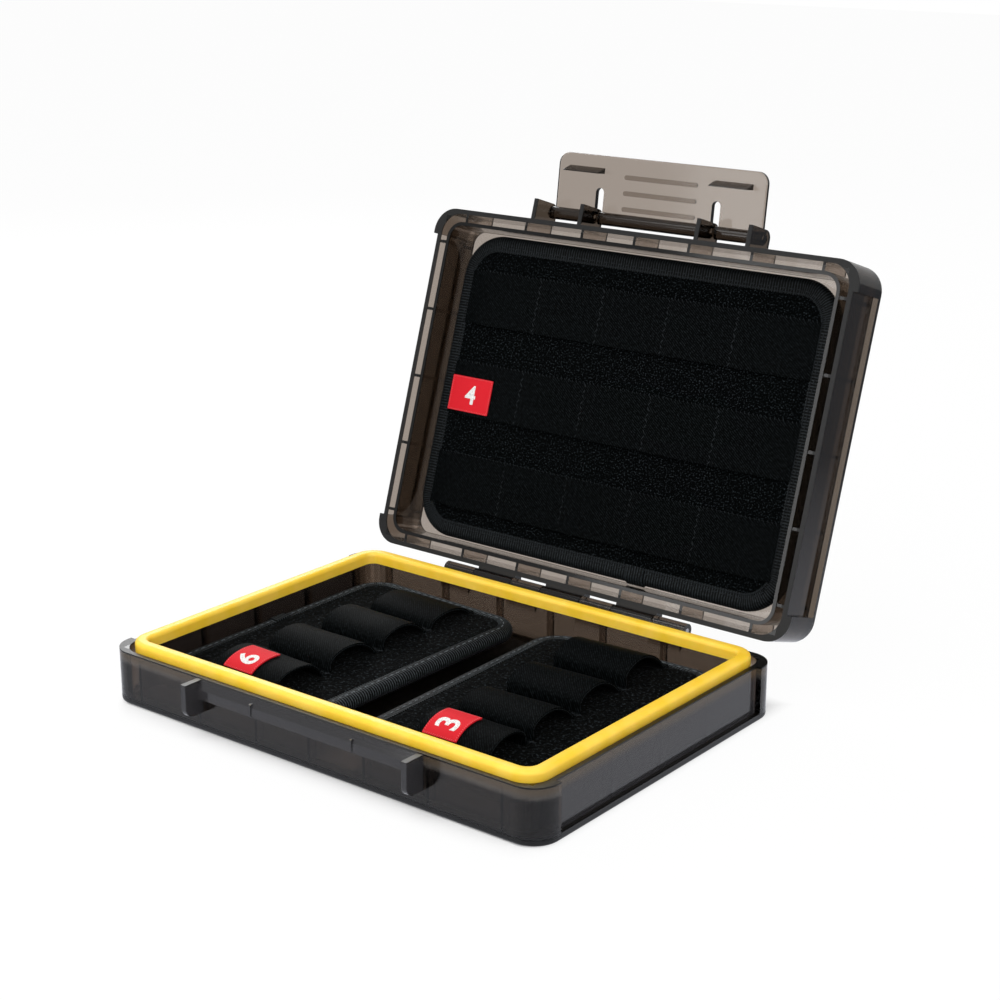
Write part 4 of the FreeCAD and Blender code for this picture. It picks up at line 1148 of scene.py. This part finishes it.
def loop_tag(pad, size, path, number, aside):
    """Red tag laid over the first loop of a pad, with its number."""
    fit = 0.1 * MM
    thickness = 0.4 * MM
    depth = 13 * MM
    past_crown = 3.5 * MM
    figure_forward = 1.4 * MM
    narrower = 0.88
    low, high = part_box(pad.prefix + "_tag")
    width = narrower * (high.x - low.x)
    # Run to the crown of the first loop
    first = path[:len(path) // 4]
    crown = max(range(len(first)), key=lambda place: first[place].z)
    run = sum((after - before).yz.length for before, after in zip(path[:crown], path[1:crown + 1]))
    run += past_crown - depth / 2
    spot = Vector(((low.x + high.x) / 2 - pad.middle.x + aside * MM, 0, fit))
    figure = number_drawing(number, size.loop_number, 8)
    carry(figure, Matrix.Rotation(math.pi / 2, 4, "Z"))
    shift(figure, (0, -figure_forward, thickness))
    drawings = (*tag_drawings(width, depth, thickness), figure)
    for drawing in drawings:
        shift(drawing, spot)
        lay_along(drawing, path, run)
    finish_tag(pad, drawings)


class CASE_OT_base_pads(bpy.types.Operator):
    """Sews the two pads that lie in the base, with their loops and tags"""

    bl_idname = "card_case.base_pads"
    bl_label = "Base pads"

    def execute(self, context):
        size = context.scene.case_sizes
        layers = ("board", "top_cloth", "under_cloth")
        count = 4
        corner = 11 * MM
        # The plush lies at a slant to the view, so its grain is drawn coarser
        grain_scale = 1.7
        # The pads stand a little askew, in degrees, and not quite flat. A join is a share of the way round
        # a tape. A label is its number and how far aside it sits. Slack is the height and the lean of each
        # loop, from the front, and how far the seams drift to the back.
        settings = {
            "left_pad": {
                "lift": corner_lift(0.0, 0.0, 0.9, 0.0, 0.3), "askew": -1.2, "join": 0.62,
                "label": ("6", 3.2), "slack": ((1.0, 0.98, 0.88, 0.62), (0.0, 0.2, 0.2, 0.2), 1.5)},
            "right_pad": {
                "lift": corner_lift(0.0, 0.0, 0.0, 0.4, 0.4), "askew": 1.2, "join": 0.13,
                "label": ("3", 1.9), "slack": ((1.06, 1.06, 1.06, 1.2), (-0.2, 0.3, 0.3, 0.3), -1.5)},
        }
        even = ((0.9,) * count, (0.0,) * count, 0.0)
        for prefix, own in settings.items():
            low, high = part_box(prefix + "_binding")
            turned = Matrix.Rotation(math.radians(own["askew"]), 4, "Z")
            place = Matrix.Translation((low + high) / 2) @ turned
            pad = Pad(prefix, "base", (low, high), place, corner, own["lift"], size.base_lip, own["join"],
                      grain_scale)
            half = pad.roll - size.tape_thickness
            covered = plush(pad, size, half, layers)
            tape(pad, size, covered)
            top_low, top_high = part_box(prefix + "_top_loops")
            under_low, under_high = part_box(prefix + "_under_loops")
            width = top_high.x - top_low.x
            rise = top_high.z - top_low.z - size.strip
            under_rise = under_high.z - under_low.z - size.strip
            path = loops(pad, size, half, "top_loops", rise, width, count, own["slack"])
            loops(pad, size, half, "under_loops", under_rise, width, count, even, over=True)
            loop_tag(pad, size, path, *own["label"])
        return {"FINISHED"}


def pocket_sheet(reach, height, pockets, pitch, middle, slack, ripple):
    """Sheet of a band that is puffed in each pocket, most near its left seam, and drawn in at the seams."""
    ripple_size = 9 * MM
    drawn_in = 0.012
    bm = new_drawing()
    bmesh.ops.create_grid(bm, x_segments=90, y_segments=14, size=1)
    bmesh.ops.scale(bm, verts=bm.verts[:], vec=(reach, height / 2, 1))
    keep_weave(bm)
    for vert in bm.verts:
        share = (vert.co.x / pitch + pockets / 2) % 1.0
        inside = abs(vert.co.x) < pockets / 2 * pitch
        puff = min(1.0, 6 * min(share, 1 - share)) if inside else 0.0
        puff = math.sin(puff * math.pi / 2) * (1.4 - 0.9 * share)
        edge = abs(vert.co.y) / (height / 2)
        vert.co.y *= 1 - drawn_in * (1 - puff)
        vert.co.z = slack * puff * (0.75 + 0.25 * edge)
        vert.co.z += ripple * noise.noise(Vector((vert.co.x, vert.co.y, middle)) / ripple_size)
    return bm


def band(pad, size, half, node, name, over=False):
    """Band of five flat pockets across the lid pad, and its seams."""
    low, high = shut_box(pad.prefix + "_" + node)
    pockets = 5
    width = high.x - low.x
    height = high.y - low.y
    middle = -(low.y + high.y) / 2
    pitch = (width - 2 * size.pocket_margin) / pockets
    tuck = 0.2 * MM
    reach = pad.width / 2 - pad.lip + tuck
    thickness = 0.7 * MM
    # Those on the back are pressed flat against the lid
    slack = (0.0 if over else 0.8) * MM
    ripple = (0.0 if over else 0.1) * MM
    bm = pocket_sheet(reach, height, pockets, pitch, middle, slack, ripple)
    thicken(bm, thickness)
    fit = 0.05 * MM
    shift(bm, (0, middle, half - lowest_point(bm) + fit))
    stitches = []
    seam_rise = 0.15 * MM
    top = half + thickness + seam_rise
    seam_slant = math.radians(36)
    for number in range(1, pockets):
        x = (number - pockets / 2) * pitch
        for place in range(int(height / size.zigzag_pitch)):
            y = middle - height / 2 + (place + 0.5) * size.zigzag_pitch
            slant = seam_slant if place % 2 else -seam_slant
            stitches.append(stitch(Vector((x, y, top)), slant, size.stitch, size.stitch_width))
    # Whipped upper edge: a short slanting stitch at each step, on the puff of its pocket
    edge_line = middle + height / 2 - 0.5 * MM
    edge_slant = math.radians(35)
    for vert in bm.verts:
        if vert.co.y > edge_line and vert.normal.z > 0.5:
            stitches.append(stitch(vert.co, edge_slant, size.edge_stitch, size.edge_width))
    sewn = sew(stitches)
    if over:
        carry(bm, OVER)
        carry(sewn, OVER)
    piece = pad.finish(name, bm, "twilled_elastic", "elastic", [node], sharp=60)
    thread = pad.finish(name + "_stitches", sewn, "black_thread", "elastic")


class CASE_OT_lid_pad(bpy.types.Operator):
    """Sews the pad of the lid, with its bands of pockets and its tag"""

    bl_idname = "card_case.lid_pad"
    bl_label = "Lid pad"

    def execute(self, context):
        size = context.scene.case_sizes
        low, high = shut_box("lid_pad_binding")
        facing = Matrix.Rotation(math.pi, 4, "X")
        place = LID_OPEN @ Matrix.Translation((low + high) / 2) @ facing
        lift = corner_lift(0.4, 0.0, 0.3, 0.1, 0.3)
        corner = 15 * MM
        pad = Pad("lid_pad", "lid", (low, high), place, corner, lift, size.lid_lip, join=0.87, grain=1.0)
        half = pad.roll - size.tape_thickness
        covered = plush(pad, size, half, ("board", "front_cloth", "back_cloth"))
        tape(pad, size, covered)
        for number in (1, 2, 3):
            band(pad, size, half, "front_band_%d" % number, "front_pockets_%d" % number)
            band(pad, size, half, "back_band_%d" % number, "back_pockets_%d" % number, over=True)
        tag_low, tag_high = shut_box("lid_pad_tag")
        width, depth, thickness = tag_high - tag_low
        figure_aside = 0.2 * MM
        level = (low.z + high.z) / 2 - tag_high.z
        spot = Vector(((tag_low.x + tag_high.x) / 2, -(tag_low.y + tag_high.y) / 2, level))
        figure = number_drawing("4", size.number_height, 1)
        shift(figure, (figure_aside, 0, thickness))
        drawings = (*tag_drawings(width, depth, thickness), figure)
        for drawing in drawings:
            shift(drawing, spot)
        finish_tag(pad, drawings)
        return {"FINISHED"}


# Stage

def any_ray(tree, *kinds):
    """One where a ray is of one of these kinds, and nought where it is not."""
    ray = add(tree, "ShaderNodeLightPath")
    shown = (ray, kinds[0])
    for kind in kinds[1:]:
        shown = maths(tree, "MAXIMUM", shown, (ray, kind))
    return shown


def either_shader(tree, share, first, second):
    """Output of a mix of two shaders."""
    return add(tree, "ShaderNodeMixShader", {"Fac": share, 1: first, 2: second}), "Shader"


def soft_room(scene, settings):
    """Even light from all round, in front of a white backdrop."""
    world = bpy.data.worlds.new("soft_room")
    world.use_nodes = True
    tree = world.node_tree
    tree.nodes.clear()
    lighting, backdrop = [
        (add(tree, "ShaderNodeBackground", {"Color": WHITE, "Strength": strength}), "Background")
        for strength in (settings.room_light, 1.0)]
    seen = any_ray(tree, "Is Camera Ray", "Is Transmission Ray")
    add(tree, "ShaderNodeOutputWorld", {"Surface": either_shader(tree, seen, lighting, backdrop)})
    scene.world = world


def white_paper(colours, settings):
    """Plain white paper that shows only a little of the shadows and is paler in the mirrors of the case."""
    tree = new_material("white_paper_floor")
    paper = add(tree, "ShaderNodeBsdfDiffuse", {"Color": opaque(colours.floor)}), "BSDF"
    glow = add(tree, "ShaderNodeEmission", {"Color": WHITE, "Strength": 1.0}), "Emission"
    low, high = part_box("base_shell")
    apart = add(tree, "ShaderNodeSeparateXYZ", {"Vector": object_place(tree)})
    reaches = [maths(tree, "SUBTRACT", maths(tree, "ABSOLUTE", (apart, axis)), half)
               for axis, half in (("X", high.x), ("Y", -low.y))]
    outside = maths(tree, "MAXIMUM", *reaches)
    # The case keeps the light off the paper under it, so nothing glows up through its clear bottom
    shade_edge = (-8 * MM, 2 * MM)
    open_floor = spread(tree, outside, start=shade_edge, end=(0.0, settings.floor_glow))
    seen = any_ray(tree, "Is Camera Ray", "Is Transmission Ray")
    plain = either_shader(tree, maths(tree, "MULTIPLY", seen, open_floor), paper, glow)
    # The paper is lit near the case and falls off away from it, as its sides mirror it
    lit_edge = (20 * MM, 250 * MM)
    fall_off = spread(tree, outside, start=lit_edge, end=(0.9, 0.25))
    mirrored = add(tree, "ShaderNodeEmission", {
        "Color": opaque(colours.mirrored_floor), "Strength": fall_off}), "Emission"
    bounced = maths(tree, "SUBTRACT", any_ray(tree, "Is Glossy Ray"), any_ray(tree, "Is Transmission Ray"))
    add(tree, "ShaderNodeOutputMaterial", {"Surface": either_shader(tree, bounced, plain, mirrored)})


def lay_floor(scene):
    """Square of paper just under the case."""
    half_width = 3.0
    under_case = 0.2 * MM
    bm = bmesh.new()
    bmesh.ops.create_grid(bm, x_segments=1, y_segments=1, size=half_width)
    shift(bm, (0, 0, -under_case))
    mesh = bpy.data.meshes.new("floor")
    bm.to_mesh(mesh)
    bm.free()
    mesh.materials.append(bpy.data.materials["white_paper_floor"])
    floor = bpy.data.objects.new("floor", mesh)
    scene.collection.objects.link(floor)


def hang_lamps(scene, settings):
    """Square soft lamps, each with its power, its width and its place, all turned to the case."""
    lamps = {
        "key_lamp": (settings.key_light, 0.8, (-0.15, -0.35, 0.95)),
        "front_lamp": (settings.front_light, 0.7, (0.5, -0.75, 0.6)),
        "left_lamp": (settings.side_light, 0.6, (-0.85, -0.05, 0.5)),
        "right_lamp": (settings.side_light, 0.6, (0.85, 0.05, 0.5)),
        "rim_lamp": (settings.rim_light, 0.35, (-0.37, -0.79, 0.33)),
        "back_lamp": (settings.back_light, 0.4, (-0.62, 0.52, 0.46)),
    }
    target = Vector((0, 0.02, 0.05))
    for name, (watts, wide, spot) in lamps.items():
        light = bpy.data.lights.new(name, "AREA")
        light.energy = watts
        light.size = wide
        lamp = bpy.data.objects.new(name, light)
        lamp.location = spot
        lamp.rotation_euler = (target - Vector(spot)).to_track_quat("-Z", "Y").to_euler()
        scene.collection.objects.link(lamp)
        lamp.visible_camera = False
        lamp.visible_transmission = False


def set_camera(scene, settings):
    view = bpy.data.cameras.new("camera")
    view.sensor_width = 36
    view.lens = settings.camera_lens
    view.clip_start = 0.01
    view.clip_end = 20
    camera = bpy.data.objects.new("camera", view)
    camera.location = settings.camera_place
    camera.rotation_euler = settings.camera_turn
    scene.collection.objects.link(camera)
    scene.camera = camera
    scene.view_settings.view_transform = "Standard"


class CASE_OT_stage(bpy.types.Operator):
    """Sets the white floor, the soft light and the camera"""

    bl_idname = "card_case.stage"
    bl_label = "Stage"

    def execute(self, context):
        scene = context.scene
        settings = scene.case_stage
        soft_room(scene, settings)
        white_paper(scene.case_colours, settings)
        lay_floor(scene)
        hang_lamps(scene, settings)
        set_camera(scene, settings)
        return {"FINISHED"}


OPERATORS = [CASE_OT_materials, CASE_OT_shells, CASE_OT_seal, CASE_OT_base_pads, CASE_OT_lid_pad,
             CASE_OT_stage]


class CASE_PT_panel(bpy.types.Panel):
    """Sidebar list of the case's pieces"""

    bl_idname = "CASE_PT_panel"
    bl_label = "Memory card case"
    bl_space_type = "VIEW_3D"
    bl_region_type = "UI"
    bl_category = "Card case"

    def draw(self, context):
        for operator in OPERATORS:
            self.layout.operator(operator.bl_idname)


GROUPS = {"case_colours": CaseColours, "case_sizes": PadSizes, "case_stage": StageSettings}


def register():
    for kind in [*GROUPS.values(), *OPERATORS, CASE_PT_panel]:
        bpy.utils.register_class(kind)
    for name, group in GROUPS.items():
        setattr(bpy.types.Scene, name, bpy.props.PointerProperty(type=group))


def unregister():
    for name in GROUPS:
        delattr(bpy.types.Scene, name)
    for kind in [CASE_PT_panel, *OPERATORS, *GROUPS.values()]:
        bpy.utils.unregister_class(kind)


def main():
    register()
    for operator in OPERATORS:
        group, name = operator.bl_idname.split(".")
        getattr(getattr(bpy.ops, group), name)()


if __name__ == "__main__":
    main()
